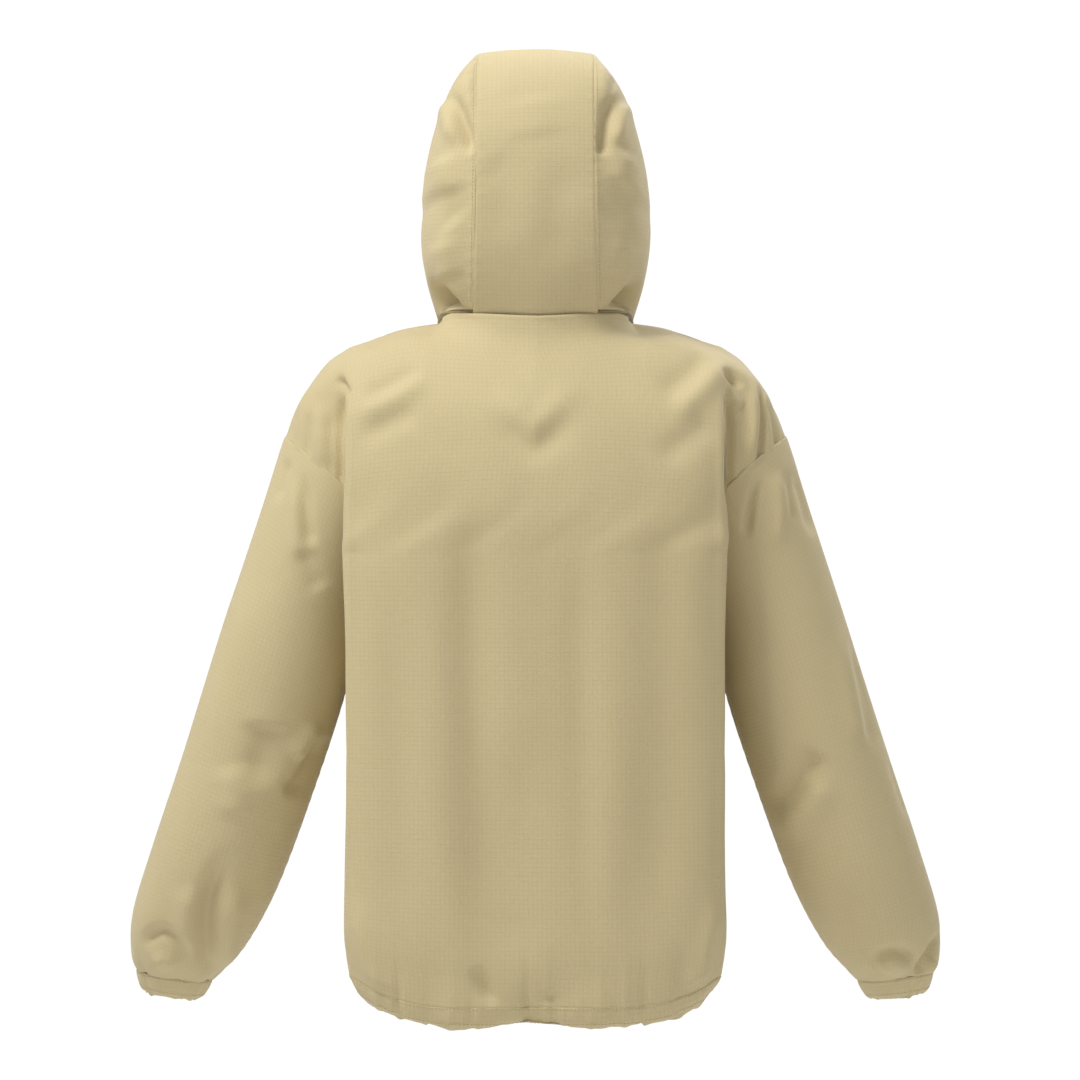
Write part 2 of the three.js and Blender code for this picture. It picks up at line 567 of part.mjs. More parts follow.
add("hood_chin_panel", sheet(trimmed(chin, { v0: FOLD_TRIM, v1: SEAM_GAP }), 12, 3), SHELL);

/** A bar of constant section along a curve. */
function bar(points, halfWide, halfThick, steps, round = false) {
  const shape = new THREE.Shape();
  if (round) shape.absarc(0, 0, halfWide, 0, 2 * Math.PI, false);
  else {
    shape.moveTo(-halfWide, -halfThick);
    shape.lineTo(halfWide, -halfThick);
    shape.lineTo(halfWide, halfThick);
    shape.lineTo(-halfWide, halfThick);
    shape.closePath();
  }
  const extrudePath = new THREE.CatmullRomCurve3(points);
  return bare(new THREE.ExtrudeGeometry(shape, { steps, extrudePath, bevelEnabled: false, curveSegments: 2 }));
}
// A spring hoop inside the front of the hood keeps the veil off the face.
const HOOP_RADIUS = 1.5;
const HOOP_INSET = V(-7, 3, -2);
const hoopSide = [2, 3, 4, 5].map((k) => faceEdge[k].clone().add(HOOP_INSET));
const hoopTop = hoodMiddle(0.86, 1).add(V(0, 2, -9));
add(
  "veil_hoop",
  bar(
    [...hoopSide, hoopTop, V(0, hoopTop.y, hoopTop.z + 3), flipX(hoopTop), ...hoopSide.map(flipX).reverse()],
    HOOP_RADIUS,
    HOOP_RADIUS,
    34,
    true,
  ),
  BONING,
);

// ---------------------------------------------------------------- neck zip
/** A band of the neck zip between two heights, from the right rear seam round the front to the left one. */
function neckBand(low, high) {
  const turn = (u) => (2 * u - 1) * (NECK_BACK_SEAM - 1);
  return loft([(u) => neck(turn(u), low(turn(u))), (u) => neck(turn(u), high(turn(u)))]);
}
const tapeEnd = (turn) => bandHalf(turn) - SEAM_GAP;
const tapeStart = () => CHAIN_OUTER + 0.3;
const minus = (f) => (turn) => -f(turn);
const NECK_STEPS = 44;
add("neck_zip_tape_lower", sheet(neckBand(minus(tapeEnd), minus(tapeStart)), NECK_STEPS, 1, 0.8), TAPE);
add("neck_zip_chain_lower", sheet(neckBand(() => -CHAIN_OUTER, () => -CHAIN_INNER), NECK_STEPS, 1, CHAIN_THICK), TEETH);
add("neck_zip_chain_upper", sheet(neckBand(() => CHAIN_INNER, () => CHAIN_OUTER), NECK_STEPS, 1, CHAIN_THICK), TEETH);
add("neck_zip_tape_upper", sheet(neckBand(tapeStart, tapeEnd), NECK_STEPS, 1, 0.8), TAPE);

// ---------------------------------------------------------------- sliders and pulls
// In a slider's own axes it faces -Y, its zip and its bail run along Z, and its pull points to -Z.
const PLATE_NEAR = CHAIN_THICK / 2 + SLIDER_CLEAR;
const PLATE_FAR = PLATE_NEAR + SLIDER_PLATE;
const BAIL_HALF = 4.6;
const BAIL_BAR = 1.2;
const BAIL_ROOM = 2.2; // under the bail's bar, for the pull's crossbar
const CROSSBAR_RADIUS = 0.7;
const POST_HALF = CHAIN_INNER - 0.4; // the post runs between the two rows of teeth

/** A slider whose plates are the chain's width and reach halfLength each way along it. */
function slider(halfLength) {
  const wide = CHAIN_OUTER + 0.4;
  const post = V(POST_HALF, PLATE_FAR, 3);
  const top = -PLATE_FAR - BAIL_ROOM;
  return joined(
    block(V(-wide, -PLATE_FAR, -halfLength), V(wide, -PLATE_NEAR, halfLength)),
    block(V(-wide, PLATE_NEAR, -halfLength), V(wide, PLATE_FAR, halfLength)),
    block(post.clone().negate(), post),
    block(V(-1, top - BAIL_BAR, -BAIL_HALF), V(1, top, BAIL_HALF)),
    block(V(-1, top - 0.1, BAIL_HALF - BAIL_BAR), V(1, -PLATE_FAR + 0.1, BAIL_HALF)),
    block(V(-1, top - 0.1, -BAIL_HALF), V(1, -PLATE_FAR + 0.1, BAIL_BAR - BAIL_HALF)),
  );
}

/** The place of a pull's crossbar, in the slider's axes. */
const PULL_PIVOT = V(0, -PLATE_FAR - BAIL_ROOM / 2, CROSSBAR_RADIUS + 0.4 - BAIL_HALF + BAIL_BAR);
const ARM_INNER = 1.6;
const ARM_OUTER = 2.8;

/** A pull with its crossbar at the origin, hanging towards -Z. */
function pull(length, halfWidth) {
  const crossbar = new THREE.CylinderGeometry(CROSSBAR_RADIUS, CROSSBAR_RADIUS, 2 * ARM_OUTER, 8);
  crossbar.rotateZ(Math.PI / 2);
  const armLength = 6;
  const arm = (low, high) => block(V(low, -0.6, -armLength), V(high, 0.6, CROSSBAR_RADIUS));
  return joined(
    crossbar,
    arm(-ARM_OUTER, -ARM_INNER),
    arm(ARM_INNER, ARM_OUTER),
    block(V(-halfWidth, -0.6, -length), V(halfWidth, 0.6, -armLength + 1)),
  );
}

// ---------------------------------------------------------------- front zip
const frontZip = new THREE.Group();
frontZip.position.copy(ZIP_TOP);
frontZip.rotation.x = -ZIP_ANGLE;
jacket.add(frontZip);

const ZIP_END = 4; // the tapes start this far below the neckline
const STOP_LENGTH = 3.6;
const BOX_LENGTH = 8;
const CHAIN_TOP = -ZIP_END - STOP_LENGTH - 2 * SEAM_GAP;
const CHAIN_BOTTOM = -ZIP_LENGTH + BOX_LENGTH + SEAM_GAP;
for (const [side, s] of [["left", 1], ["right", -1]]) {
  const strip = (near, far, thick, low, high) =>
    block(
      V(Math.min(s * near, s * far), -thick / 2, low),
      V(Math.max(s * near, s * far), thick / 2, high),
    );
  add(
    `front_zip_tape_${side}`,
    strip(CHAIN_OUTER + 0.3, ZIP_HALF_TAPE, 0.8, -ZIP_LENGTH, -ZIP_END),
    TAPE,
    frontZip,
  );
  add(
    `front_zip_chain_${side}`,
    strip(CHAIN_INNER, CHAIN_OUTER, CHAIN_THICK, CHAIN_BOTTOM, CHAIN_TOP),
    TEETH,
    frontZip,
  );
  add(
    `front_zip_top_stop_${side}`,
    strip(CHAIN_INNER, CHAIN_OUTER, CHAIN_THICK + 0.6, -ZIP_END - STOP_LENGTH, -ZIP_END),
    TEETH,
    frontZip,
  );
}
add(
  "front_zip_box",
  block(V(-CHAIN_OUTER, -CHAIN_THICK, -ZIP_LENGTH), V(CHAIN_OUTER, CHAIN_THICK, -ZIP_LENGTH + BOX_LENGTH)),
  TEETH,
  frontZip,
);
const FRONT_SLIDER_DOWN = 20; // from the top of the zip to the middle of the slider, when closed
add("front_zip_slider", slider(7), TEETH, frontZip).position.z = -FRONT_SLIDER_DOWN;
add("front_zip_pull", pull(32, 4), TEETH, frontZip).position
  .copy(PULL_PIVOT)
  .add(V(0, 0, -FRONT_SLIDER_DOWN));

// A guard strip behind the zip keeps bees out of its teeth.
add(
  "zip_guard",
  block(V(-20, CHAIN_THICK + LAYER_GAP + 3, -ZIP_LENGTH + 30), V(20, CHAIN_THICK + LAYER_GAP + 3 + CLOTH, -22)),
  LINING,
  frontZip,
);

// Two sliders meet at the front of the neck zip, and each runs round its own side. Their pulls point to the front.
const NECK_SLIDER_TURN = 19;
for (const [side, s] of [["left", 1], ["right", -1]]) {
  const circle = new THREE.Group();
  circle.position.copy(NECK_CENTRE);
  circle.rotation.x = NECK_TILT;
  const arm = new THREE.Group();
  arm.rotation.z = s * rad(NECK_SLIDER_TURN);
  const along = new THREE.Group();
  along.position.y = -NECK_RADIUS;
  along.rotation.y = (s * Math.PI) / 2;
  arm.add(along);
  circle.add(arm);
  jacket.add(circle);
  add(`neck_zip_slider_${side}`, slider(5.5), TEETH, along);
  add(`neck_zip_pull_${side}`, pull(22, 3), TEETH, along).position.copy(PULL_PIVOT);
}

// ---------------------------------------------------------------- pockets, neck tape and hanger loop
/** The left front's width along its cloth, at share v of its height. */
function widthOfFront(v) {
  const steps = 20;
  let sum = 0;
  for (let i = 0; i < steps; i++) sum += leftFront(i / steps, v).distanceTo(leftFront((i + 1) / steps, v));
  return sum;
}

/** The share of the left front's height at which its edge beside the zip is this far above the hem. */
function shareAbove(fromHem) {
  let [low, high] = [0, 1];
  for (let i = 0; i < 24; i++) {
    const middle = (low + high) / 2;
    if (leftFront(1, middle).z < HEM_TOP + fromHem) low = middle;
    else high = middle;
  }
  return low;
}

/** A patch lying on the left front, placed by its distances from the zip's edge and from the hem. */
function patch({ fromZip, width, fromHem, height, lift }) {
  const [v0, v1] = [shareAbove(fromHem), shareAbove(fromHem + height)];
  const across = widthOfFront(v0);
  const place = within(leftFront, 1 - (fromZip + width) / across, 1 - fromZip / across, v0, v1);
  return offset(place, OUT_LEFT * lift);
}
const POCKET_LIFT = CLOTH + LAYER_GAP;
const POCKET_CLOTH = 1.2;
const FLAP_LIFT = POCKET_LIFT + POCKET_CLOTH + LAYER_GAP;
const CHEST = { fromZip: 62, width: 76, fromHem: 307, height: 109 };
const FLAP = { fromZip: 61, width: 78, fromHem: 399, height: 28 };
const SIDE = { fromZip: 60, width: 112, fromHem: 25, height: 140 };
add("chest_pocket", sheet(patch({ ...CHEST, lift: POCKET_LIFT }), 5, 4, POCKET_CLOTH), SHELL);
add("chest_pocket_flap", sheet(patch({ ...FLAP, lift: FLAP_LIFT }), 5, 2, POCKET_CLOTH), SHELL);
const sidePocket = patch({ ...SIDE, lift: POCKET_LIFT });
add("side_pocket_left", sheet(sidePocket, 6, 5, POCKET_CLOTH), SHELL);
add("side_pocket_right", sheet(mirrored(sidePocket), 6, 5, POCKET_CLOTH), SHELL);

const NECK_TAPE_LIFT = 3; // the tape hangs a little free of the cloth
const neckTape = offset(within(backSurface, 0.37, 0.63, 0.93, 0.98), -CLOTH - NECK_TAPE_LIFT);
add("neck_tape", sheet(neckTape, 16, 2, WEBBING), TAPE);

const LOOP_HALF = 22;
const loopAt = bodyNeck(180).add(V(0, -12, -14));
add(
  "hanger_loop",
  joined(
    block(V(-LOOP_HALF, -3, -13), V(LOOP_HALF, 3, -11.6)),
    block(V(-LOOP_HALF, -3, -13), V(-LOOP_HALF + 1.4, 3, 4)),
    block(V(LOOP_HALF - 1.4, -3, -13), V(LOOP_HALF, 3, 4)),
  ),
  TAPE,
).position.copy(loopAt);

export default jacket;
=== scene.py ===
"""A hooded beekeeping jacket in beige ripstop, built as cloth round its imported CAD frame.

Shapes are worked out in millimetres and written to Blender in metres. The wearer faces -Y, +X is the
wearer's left, and the origin is the middle of the neck. Every cloth piece is a grid lofted through a few
rows, with its folds, gathers and turned-in seams moved along its normals.
"""
import math

import bpy
import numpy as np
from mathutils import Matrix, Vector


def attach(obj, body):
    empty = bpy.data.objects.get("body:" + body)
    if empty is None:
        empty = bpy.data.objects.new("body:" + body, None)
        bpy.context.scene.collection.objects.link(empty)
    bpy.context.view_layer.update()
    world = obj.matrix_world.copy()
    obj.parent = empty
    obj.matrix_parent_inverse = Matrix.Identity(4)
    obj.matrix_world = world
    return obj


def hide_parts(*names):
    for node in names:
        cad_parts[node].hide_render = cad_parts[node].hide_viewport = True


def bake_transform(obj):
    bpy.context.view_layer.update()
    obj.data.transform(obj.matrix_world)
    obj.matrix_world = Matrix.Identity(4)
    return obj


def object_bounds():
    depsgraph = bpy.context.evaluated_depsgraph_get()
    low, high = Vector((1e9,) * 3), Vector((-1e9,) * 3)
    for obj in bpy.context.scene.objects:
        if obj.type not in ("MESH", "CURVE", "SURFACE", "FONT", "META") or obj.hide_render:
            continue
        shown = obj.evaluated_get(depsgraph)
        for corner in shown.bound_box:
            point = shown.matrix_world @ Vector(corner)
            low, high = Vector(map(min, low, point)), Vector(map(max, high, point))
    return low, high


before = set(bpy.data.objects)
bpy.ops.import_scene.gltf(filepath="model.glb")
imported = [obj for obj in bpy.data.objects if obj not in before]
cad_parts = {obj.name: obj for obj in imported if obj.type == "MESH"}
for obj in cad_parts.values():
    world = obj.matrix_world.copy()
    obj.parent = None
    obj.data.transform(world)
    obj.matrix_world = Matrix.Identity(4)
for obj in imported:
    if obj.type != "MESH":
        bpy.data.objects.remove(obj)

CAD_BOX = [list(corner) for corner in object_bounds()]
MM = 0.001

# ---------------------------------------------------------------- camera, floor and light
CAMERA_DISTANCE = 3.2
CAMERA_HEIGHT = -0.222
CAMERA_SIDE = -0.0045
FRAME_WIDTH = 1.08  # what the camera sees across, at the jacket
SENSOR = 36.0


def add_camera():
    data = bpy.data.cameras.new("camera")
    data.sensor_width = SENSOR
    data.lens = SENSOR * CAMERA_DISTANCE / FRAME_WIDTH
    camera = bpy.data.objects.new("camera", data)
    camera.location = (CAMERA_SIDE, CAMERA_DISTANCE, CAMERA_HEIGHT)
    camera.rotation_euler = (math.radians(90), 0, math.radians(180))
    bpy.context.scene.collection.objects.link(camera)
    bpy.context.scene.camera = camera


def add_floor():
    radius, below = 3.0, 0.75
    bpy.ops.mesh.primitive_circle_add(
        vertices=96, radius=radius, fill_type="NGON", location=(0, 0, CAD_BOX[0][2] - below)
    )
    floor = bpy.context.object
    floor.name = "floor"
    look = bpy.data.materials.new("floor")
    look.use_nodes = True
    surface = look.node_tree.nodes["Principled BSDF"]
    surface.inputs["Base Color"].default_value = (0.86, 0.86, 0.85, 1)
    surface.inputs["Roughness"].default_value = 0.9
    floor.data.materials.append(look)


def add_sky():
    """A plain studio sky: white at the horizon, brighter overhead and dimmer below."""
    world = bpy.data.worlds.new("studio")
    bpy.context.scene.world = world
    world.use_nodes = True
    nodes, links = world.node_tree.nodes, world.node_tree.links
    direction = nodes.new("ShaderNodeTexCoord")
    split = nodes.new("ShaderNodeSeparateXYZ")
    height = nodes.new("ShaderNodeMapRange")
    height.inputs["From Min"].default_value = -1
    ramp = nodes.new("ShaderNodeValToRGB")
    stops = ramp.color_ramp.elements
    stops[0].position, stops[0].color = 0.12, (0.04, 0.04, 0.04, 1)
    stops[1].position, stops[1].color = 1.0, (0.62, 0.62, 0.62, 1)
    for place, grey in ((0.22, 0.3), (0.34, 0.82), (0.4, 1.0), (0.59, 1.0), (0.65, 0.16)):
        stop = stops.new(place)
        stop.color = (grey, grey, grey, 1)
    links.new(direction.outputs["Generated"], split.inputs[0])
    links.new(split.outputs["Z"], height.inputs["Value"])
    links.new(height.outputs["Result"], ramp.inputs[0])
    background = nodes["Background"]
    background.inputs["Strength"].default_value = 1.02
    links.new(ramp.outputs["Color"], background.inputs["Color"])


def add_light(name, place, size, energy):
    data = bpy.data.lights.new(name, "AREA")
    data.size = size
    data.energy = energy
    light = bpy.data.objects.new(name, data)
    light.location = place
    aim = Vector((0, 0, -0.25)) - Vector(place)
    light.rotation_euler = aim.to_track_quat("-Z", "Y").to_euler()
    bpy.context.scene.collection.objects.link(light)


add_camera()
add_floor()
add_sky()
add_light("key", (1.4, 1.15, 2.75), 1.0, 104)
add_light("front_key", (-1.4, -2.0, 2.2), 1.3, 56)
bpy.context.scene.view_settings.view_transform = "Standard"


# ---------------------------------------------------------------- curves and surfaces
def smoothstep(t):
    t = np.clip(t, 0, 1)
    return t * t * (3 - 2 * t)


def catmull(knots, t):
    """Points at t, from 0 to 1, of the smooth curve through knots. The first axis counts the knots."""
    knots = np.asarray(knots, float)
    ends = 2 * knots[[0, -1]] - knots[[1, -2]]
    p = np.concatenate([ends[:1], knots, ends[1:]])
    x = np.clip(t, 0, 1) * (len(knots) - 1)
    k = np.minimum(x.astype(int), len(knots) - 2)
    s = (x - k).reshape((-1,) + (1,) * (knots.ndim - 1))
    leave, arrive = (p[k + 2] - p[k]) / 2, (p[k + 3] - p[k + 1]) / 2
    start, end = 2 * s**3 - 3 * s**2 + 1, 3 * s**2 - 2 * s**3
    return start * p[k + 1] + (s**3 - 2 * s**2 + s) * leave + end * p[k + 2] + (s**3 - s**2) * arrive


def run_of(points, axis=0):
    """The distance along points, from 0 at the first one."""
    steps = np.linalg.norm(np.diff(points, axis=axis), axis=-1)
    return np.insert(np.cumsum(steps, axis=axis), 0, 0, axis=axis)


def at_run(points, run, wanted):
    """Points (or normals) interpolated at distances along a line."""
    return np.stack([np.interp(wanted, run, points[:, i]) for i in range(3)], axis=1)


def through(*stretches):
    """A row through points, as a function of u from 0 to 1, evenly along its length."""
    fine = [catmull(s, np.linspace(0, 1, 24 * (len(s) - 1) + 1)) for s in stretches]
    line = np.concatenate(fine)
    run = run_of(line)
    return lambda u: at_run(line, run, np.clip(u, 0, 1) * run[-1])


def loft(rows):
    """A surface through rows, as a function of arrays u and v. It gives a grid with v down and u across."""
    return lambda u, v: catmull([row(u) for row in rows], v)


def pinned(surface, edge):
    """A surface with its edge at u 0 moved onto another curve, and the rest eased after it."""

    def moved(u, v):
        gap = edge(v) - surface(np.zeros(1), v)[:, 0]
        return surface(u, v) + gap[:, None] * ((1 - u) ** 4)[None, :, None]

    return moved


def mirrored(surface):
    return lambda u, v: surface(u, v) * (-1, 1, 1)


def within(surface, u0, u1, v0, v1):
    return lambda u, v: surface(u0 + (u1 - u0) * u, v0 + (v1 - v0) * v)


def unit(vectors):
    return vectors / np.maximum(np.linalg.norm(vectors, axis=-1, keepdims=True), 1e-9)


# ---------------------------------------------------------------- cloth grids
STEP = 3.0  # between the points of a grid
FINE_EDGE = (0, 0.7, 1.5, 2.5, 3.8, 5.6)  # the points beside a sewn edge
SEAM_DIP = 0.8  # how far a sewn edge turns in
SEAM_REACH = 1.4


def stations(length, step, fine_low, fine_high):
    """Shares of a length: closer together beside a sewn edge."""
    low = FINE_EDGE if fine_low else (0,)
    high = [length - e for e in reversed(FINE_EDGE)] if fine_high else [length]
    count = max(2, round((high[0] - low[-1]) / step))
    places = [*low[:-1], *np.linspace(low[-1], high[0], count + 1), *high[1:]]
    return np.array(places) / length


class Cloth:
    """A grid of points with v down and u across, its outward normals, and its distances in mm.
    sewn names the edges that turn in: left (u 0), right, bottom (v 0) and top."""

    def __init__(self, surface, flip=False, closed=False, sewn=(), step=STEP, across=0.5):
        even = np.linspace(0, 1, 81)
        ends = ("right", "left") if flip else ("left", "right")
        self.sewn, self.closed = sewn, closed
        row = surface(even, np.array([across]))[0]
        run = run_of(row)
        wanted = stations(run[-1], step, ends[0] in sewn, ends[1] in sewn)
        u = np.interp(wanted * run[-1], run, even)
        column = surface(np.array([0.5]), even)[:, 0]
        run = run_of(column)
        wanted = stations(run[-1], step, "bottom" in sewn, "top" in sewn)
        v = np.interp(wanted * run[-1], run, even)
        self.points = surface(u, v)
        if flip:
            self.points = self.points[:, ::-1]
        self.measure()
        self.flat = (float(self.width.max()), float(self.height.max()))
        self.area = self.surface_area()

    def measure(self):
        self.along = run_of(self.points, axis=1)  # from u 0, in each row
        self.up = run_of(self.points, axis=0)  # from v 0, in each column
        self.width, self.height = self.along[:, -1:], self.up[-1:]
        p = self.points
        if self.closed:
            p = np.concatenate([p[:, -2:-1], p, p[:, 1:2]], axis=1)
        across, down = np.gradient(p, axis=1), np.gradient(p, axis=0)
        self.normals = unit(np.cross(across, down))
        if self.closed:
            self.normals = self.normals[:, 1:-1]

    def surface_area(self):
        a = self.points[1:, 1:] - self.points[:-1, :-1]
        b = self.points[1:, :-1] - self.points[:-1, 1:]
        return float(np.linalg.norm(np.cross(a, b), axis=-1).sum() / 2)

    def from_edges(self):
        """The distance from each sewn edge."""
        far = {"left": self.along, "right": self.width - self.along}
        far |= {"bottom": self.up, "top": self.height - self.up}
        return [far[name] for name in self.sewn]

    def fade(self, reach):
        """0 at the sewn edges and 1 beyond reach from them."""
        made = np.ones(self.along.shape)
        for distance in self.from_edges():
            made *= smoothstep(distance / reach)
        return made

    def move(self, distance):
        self.points = self.points + self.normals * distance[..., None]
        self.measure()

    def turn_in(self, dip=SEAM_DIP, reach=SEAM_REACH):
        """Rolls each sewn edge in, with faint puckers beside it."""
        moved = np.zeros(self.along.shape)
        for name, distance in zip(self.sewn, self.from_edges()):
            run = self.up if name in ("left", "right") else self.along
            moved -= dip * np.exp(-((distance / reach) ** 2))
            wave = np.sin(run / 2.1 + 1.3 * np.sin(run / 23)) * np.sin(run / 31)
            moved += 0.22 * wave * np.exp(-(((distance - 5) / 5) ** 2))
        self.move(moved)


def quads(rows, columns, closed):
    across = np.arange(columns) % (columns - 1 if closed else columns)
    stride = columns - 1 if closed else columns
    index = np.arange(rows)[:, None] * stride + across
    corner = np.arange(rows)[:, None] * columns + np.arange(columns)
    pick = [(slice(0, -1), slice(0, -1)), (slice(0, -1), slice(1, None))]
    pick += [(slice(1, None), slice(1, None)), (slice(1, None), slice(0, -1))]
    faces = np.stack([index[p] for p in pick], axis=-1).reshape(-1, 4)
    corners = np.stack([corner[p] for p in pick], axis=-1).reshape(-1, 4)
    return faces, corners


def new_object(name, points, faces, look, uv=None):
    mesh = bpy.data.meshes.new(name)
    mesh.from_pydata((np.asarray(points) * MM).tolist(), [], [list(f) for f in faces])
    if uv is not None:
        layer = mesh.uv_layers.new(name="cloth")
        layer.data.foreach_set("uv", (np.asarray(uv) * MM).astype(np.float32).ravel())
    mesh.polygons.foreach_set("use_smooth", np.ones(len(mesh.polygons), bool))
    mesh.materials.append(look)
    made = bpy.data.objects.new(name, mesh)
    bpy.context.scene.collection.objects.link(made)
    return made


def build(name, cloth, look, thickness=0.9, offset=-1):
    """The Blender object of a cloth grid, thickened inwards, with UVs that lie flat as the cloth was cut."""
    rows, columns = cloth.along.shape
    faces, corners = quads(rows, columns, cloth.closed)
    across = cloth.along - cloth.width / 2
    up = np.broadcast_to(cloth.up[:, columns // 2 : columns // 2 + 1], across.shape)
    uv = np.stack([across, up], axis=-1).reshape(-1, 2)[corners.ravel()]
    points = cloth.points[:, :-1] if cloth.closed else cloth.points
    made = new_object(name, points.reshape(-1, 3), faces, look, uv)
    if thickness:
        solid = made.modifiers.new("thickness", "SOLIDIFY")
        solid.thickness, solid.offset = thickness * MM, offset
    return made


# ---------------------------------------------------------------- folds
FOLD_STRENGTH = 1.35


def near_line(points, line):
    """The distance from each point to a smooth line, and how far along the line that is, from 0 to 1."""
    fine = catmull(line, np.linspace(0, 1, 12 * (len(line) - 1) + 1))
    best = np.full(points.shape[:-1], 1e9)
    share = np.zeros(points.shape[:-1])
    for (a, b), low in zip(zip(fine[:-1], fine[1:]), np.linspace(0, 1, len(fine))[:-1]):
        t = np.clip(((points - a) @ (b - a)) / ((b - a) @ (b - a)), 0, 1)
        distance = np.linalg.norm(points - a - t[..., None] * (b - a), axis=-1)
        closer = distance < best
        best = np.where(closer, distance, best)
        share = np.where(closer, low + t / (len(fine) - 1), share)
    return best, share


def folds(cloth, strokes, facing=1, threshold=0.0):
    """The sum of fold strokes, each (line of (x, z) in millimetres, width, height).

    A height below 0 is a valley. facing 1 takes the cloth that faces the back, and -1 the cloth in front."""
    seen = cloth.points[..., [0, 2]]
    total = np.zeros(seen.shape[:-1])
    for line, wide, high in strokes:
        distance, share = near_line(seen, np.array(line, float))
        taper = smoothstep(share / 0.3) * smoothstep((1 - share) / 0.3)
        total += FOLD_STRENGTH * high * np.exp(-((distance / wide) ** 2)) * taper
    turned = smoothstep((cloth.normals[..., 1] * facing - threshold) / 0.35)
    return total * turned


def soft_waves(cloth, seed, height=0.9, length=70.0, count=7):
    """Faint long waves, drawn in order from a seeded generator, gone at the sewn edges."""
    draw = np.random.default_rng(seed)
    total = np.zeros(cloth.along.shape)
    for _ in range(count):
        turn, phase = draw.uniform(-0.9, 0.9), draw.uniform(0, 2 * math.pi)
        size = length * draw.uniform(0.5, 1.6)
        way = cloth.along * math.cos(turn) + cloth.up * math.sin(turn) * 0.5
        total += np.sin(way * 2 * math.pi / size + phase) * size / length
    return total * height / count * 1.6 * cloth.fade(28)


def gathers(run, seed, first, last, spacing=27.0, wide=6.5, high=2.6):
    """Small folds across a drawn-in edge, at distances run along it."""
    draw = np.random.default_rng(seed)
    total = np.zeros(np.shape(run))
    place = first
    while place < last:
        size = draw.uniform(0.6, 1.35)
        total += high * draw.uniform(-1.0, 0.9) * np.exp(-(((run - place) / (wide * size)) ** 2))
        place += spacing * draw.uniform(0.55, 1.3)
    return total


# ---------------------------------------------------------------- materials
def linear(red, green, blue):
    """An sRGB colour, each from 0 to 255, as Blender's linear one."""
    parts = [c / 255 for c in (red, green, blue)]
    return (*[p / 12.92 if p <= 0.04045 else ((p + 0.055) / 1.055) ** 2.4 for p in parts], 1)


class Look:
    """A material and short calls for its nodes."""

    def __init__(self, name, roughness, metallic=0.0, sheen=0.0, coat=0.0):
        self.material = bpy.data.materials.new(name)
        self.material.use_nodes = True
        self.nodes, self.links = self.material.node_tree.nodes, self.material.node_tree.links
        self.surface = self.nodes["Principled BSDF"]
        for socket, value in (("Roughness", roughness), ("Metallic", metallic)):
            self.surface.inputs[socket].default_value = value
        self.surface.inputs["Sheen Weight"].default_value = sheen
        self.surface.inputs["Coat Weight"].default_value = coat

    def math(self, operation, a, b=0.0):
        node = self.nodes.new("ShaderNodeMath")
        node.operation = operation
        for socket, value in zip(node.inputs, (a, b)):
            if isinstance(value, (int, float)):
                socket.default_value = value
            else:
                self.links.new(value, socket)
        return node.outputs[0]

    def uv(self):
        place = self.nodes.new("ShaderNodeTexCoord")
        split = self.nodes.new("ShaderNodeSeparateXYZ")
        self.links.new(place.outputs["UV"], split.inputs[0])
        return split.outputs["X"], split.outputs["Y"]

    def noise(self, scale, detail=3.0):
        place = self.nodes.new("ShaderNodeTexCoord")
        node = self.nodes.new("ShaderNodeTexNoise")
        node.inputs["Scale"].default_value = scale
        node.inputs["Detail"].default_value = detail
        self.links.new(place.outputs["Object"], node.inputs["Vector"])
        return node.outputs["Fac"]

    def lines(self, coordinate, pitch, wide):
        """1 on lines of that width, repeated at that pitch in metres, and 0 between them."""
        cell = self.math("FRACT", self.math("DIVIDE", coordinate, pitch))
        away = self.math("ABSOLUTE", self.math("SUBTRACT", cell, 0.5))
        edge = self.math("DIVIDE", self.math("SUBTRACT", wide / pitch, away), 0.35 * wide / pitch)
        node = self.nodes.new("ShaderNodeClamp")
        self.links.new(edge, node.inputs["Value"])
        return node.outputs[0]

    def wave(self, coordinate, pitch):
        return self.math("SINE", self.math("MULTIPLY", coordinate, 2 * math.pi / pitch))

    def mix(self, factor, low, high):
        node = self.nodes.new("ShaderNodeMix")
        node.data_type = "RGBA"
        for socket, value in ((node.inputs[0], factor), (node.inputs[6], low), (node.inputs[7], high)):
            if isinstance(value, (tuple, float)):
                socket.default_value = value
            else:
                self.links.new(value, socket)
        return node.outputs[2]

    def colour(self, socket):
        self.links.new(socket, self.surface.inputs["Base Color"])

    def bump(self, height, distance, strength=0.6):
        node = self.nodes.new("ShaderNodeBump")
        node.inputs["Distance"].default_value = distance
        node.inputs["Strength"].default_value = strength
        self.links.new(height, node.inputs["Height"])
        self.links.new(node.outputs["Normal"], self.surface.inputs["Normal"])


RIPSTOP_PITCH = 0.0045
YARN_PITCH = 0.00075


def ripstop(name, light, dark, bump=0.6):
    """Plain weave with a raised square grid, a little uneven in colour."""
    look = Look(name, roughness=0.82, sheen=0.12)
    u, v = look.uv()
    grid = look.math(
        "MAXIMUM", look.lines(u, RIPSTOP_PITCH, 0.00042), look.lines(v, RIPSTOP_PITCH, 0.00042)
    )
    yarn = look.math("MULTIPLY", look.wave(u, YARN_PITCH), look.wave(v, YARN_PITCH))
    cloud = look.mix(look.noise(9.0), light, dark)
    speck = look.math("MULTIPLY", look.noise(900.0, 1.0), 0.12)
    woven = look.math("ADD", look.math("MULTIPLY", grid, 0.13), speck)
    worn = look.math("ADD", woven, look.math("MULTIPLY", yarn, 0.045))
    deep = tuple(c * 0.62 for c in dark[:3]) + (1,)
    look.colour(look.mix(worn, cloud, deep))
    height = look.math("ADD", look.math("MULTIPLY", grid, 1.0), look.math("MULTIPLY", yarn, 0.35))
    look.bump(height, 0.00016, bump)
    return look.material


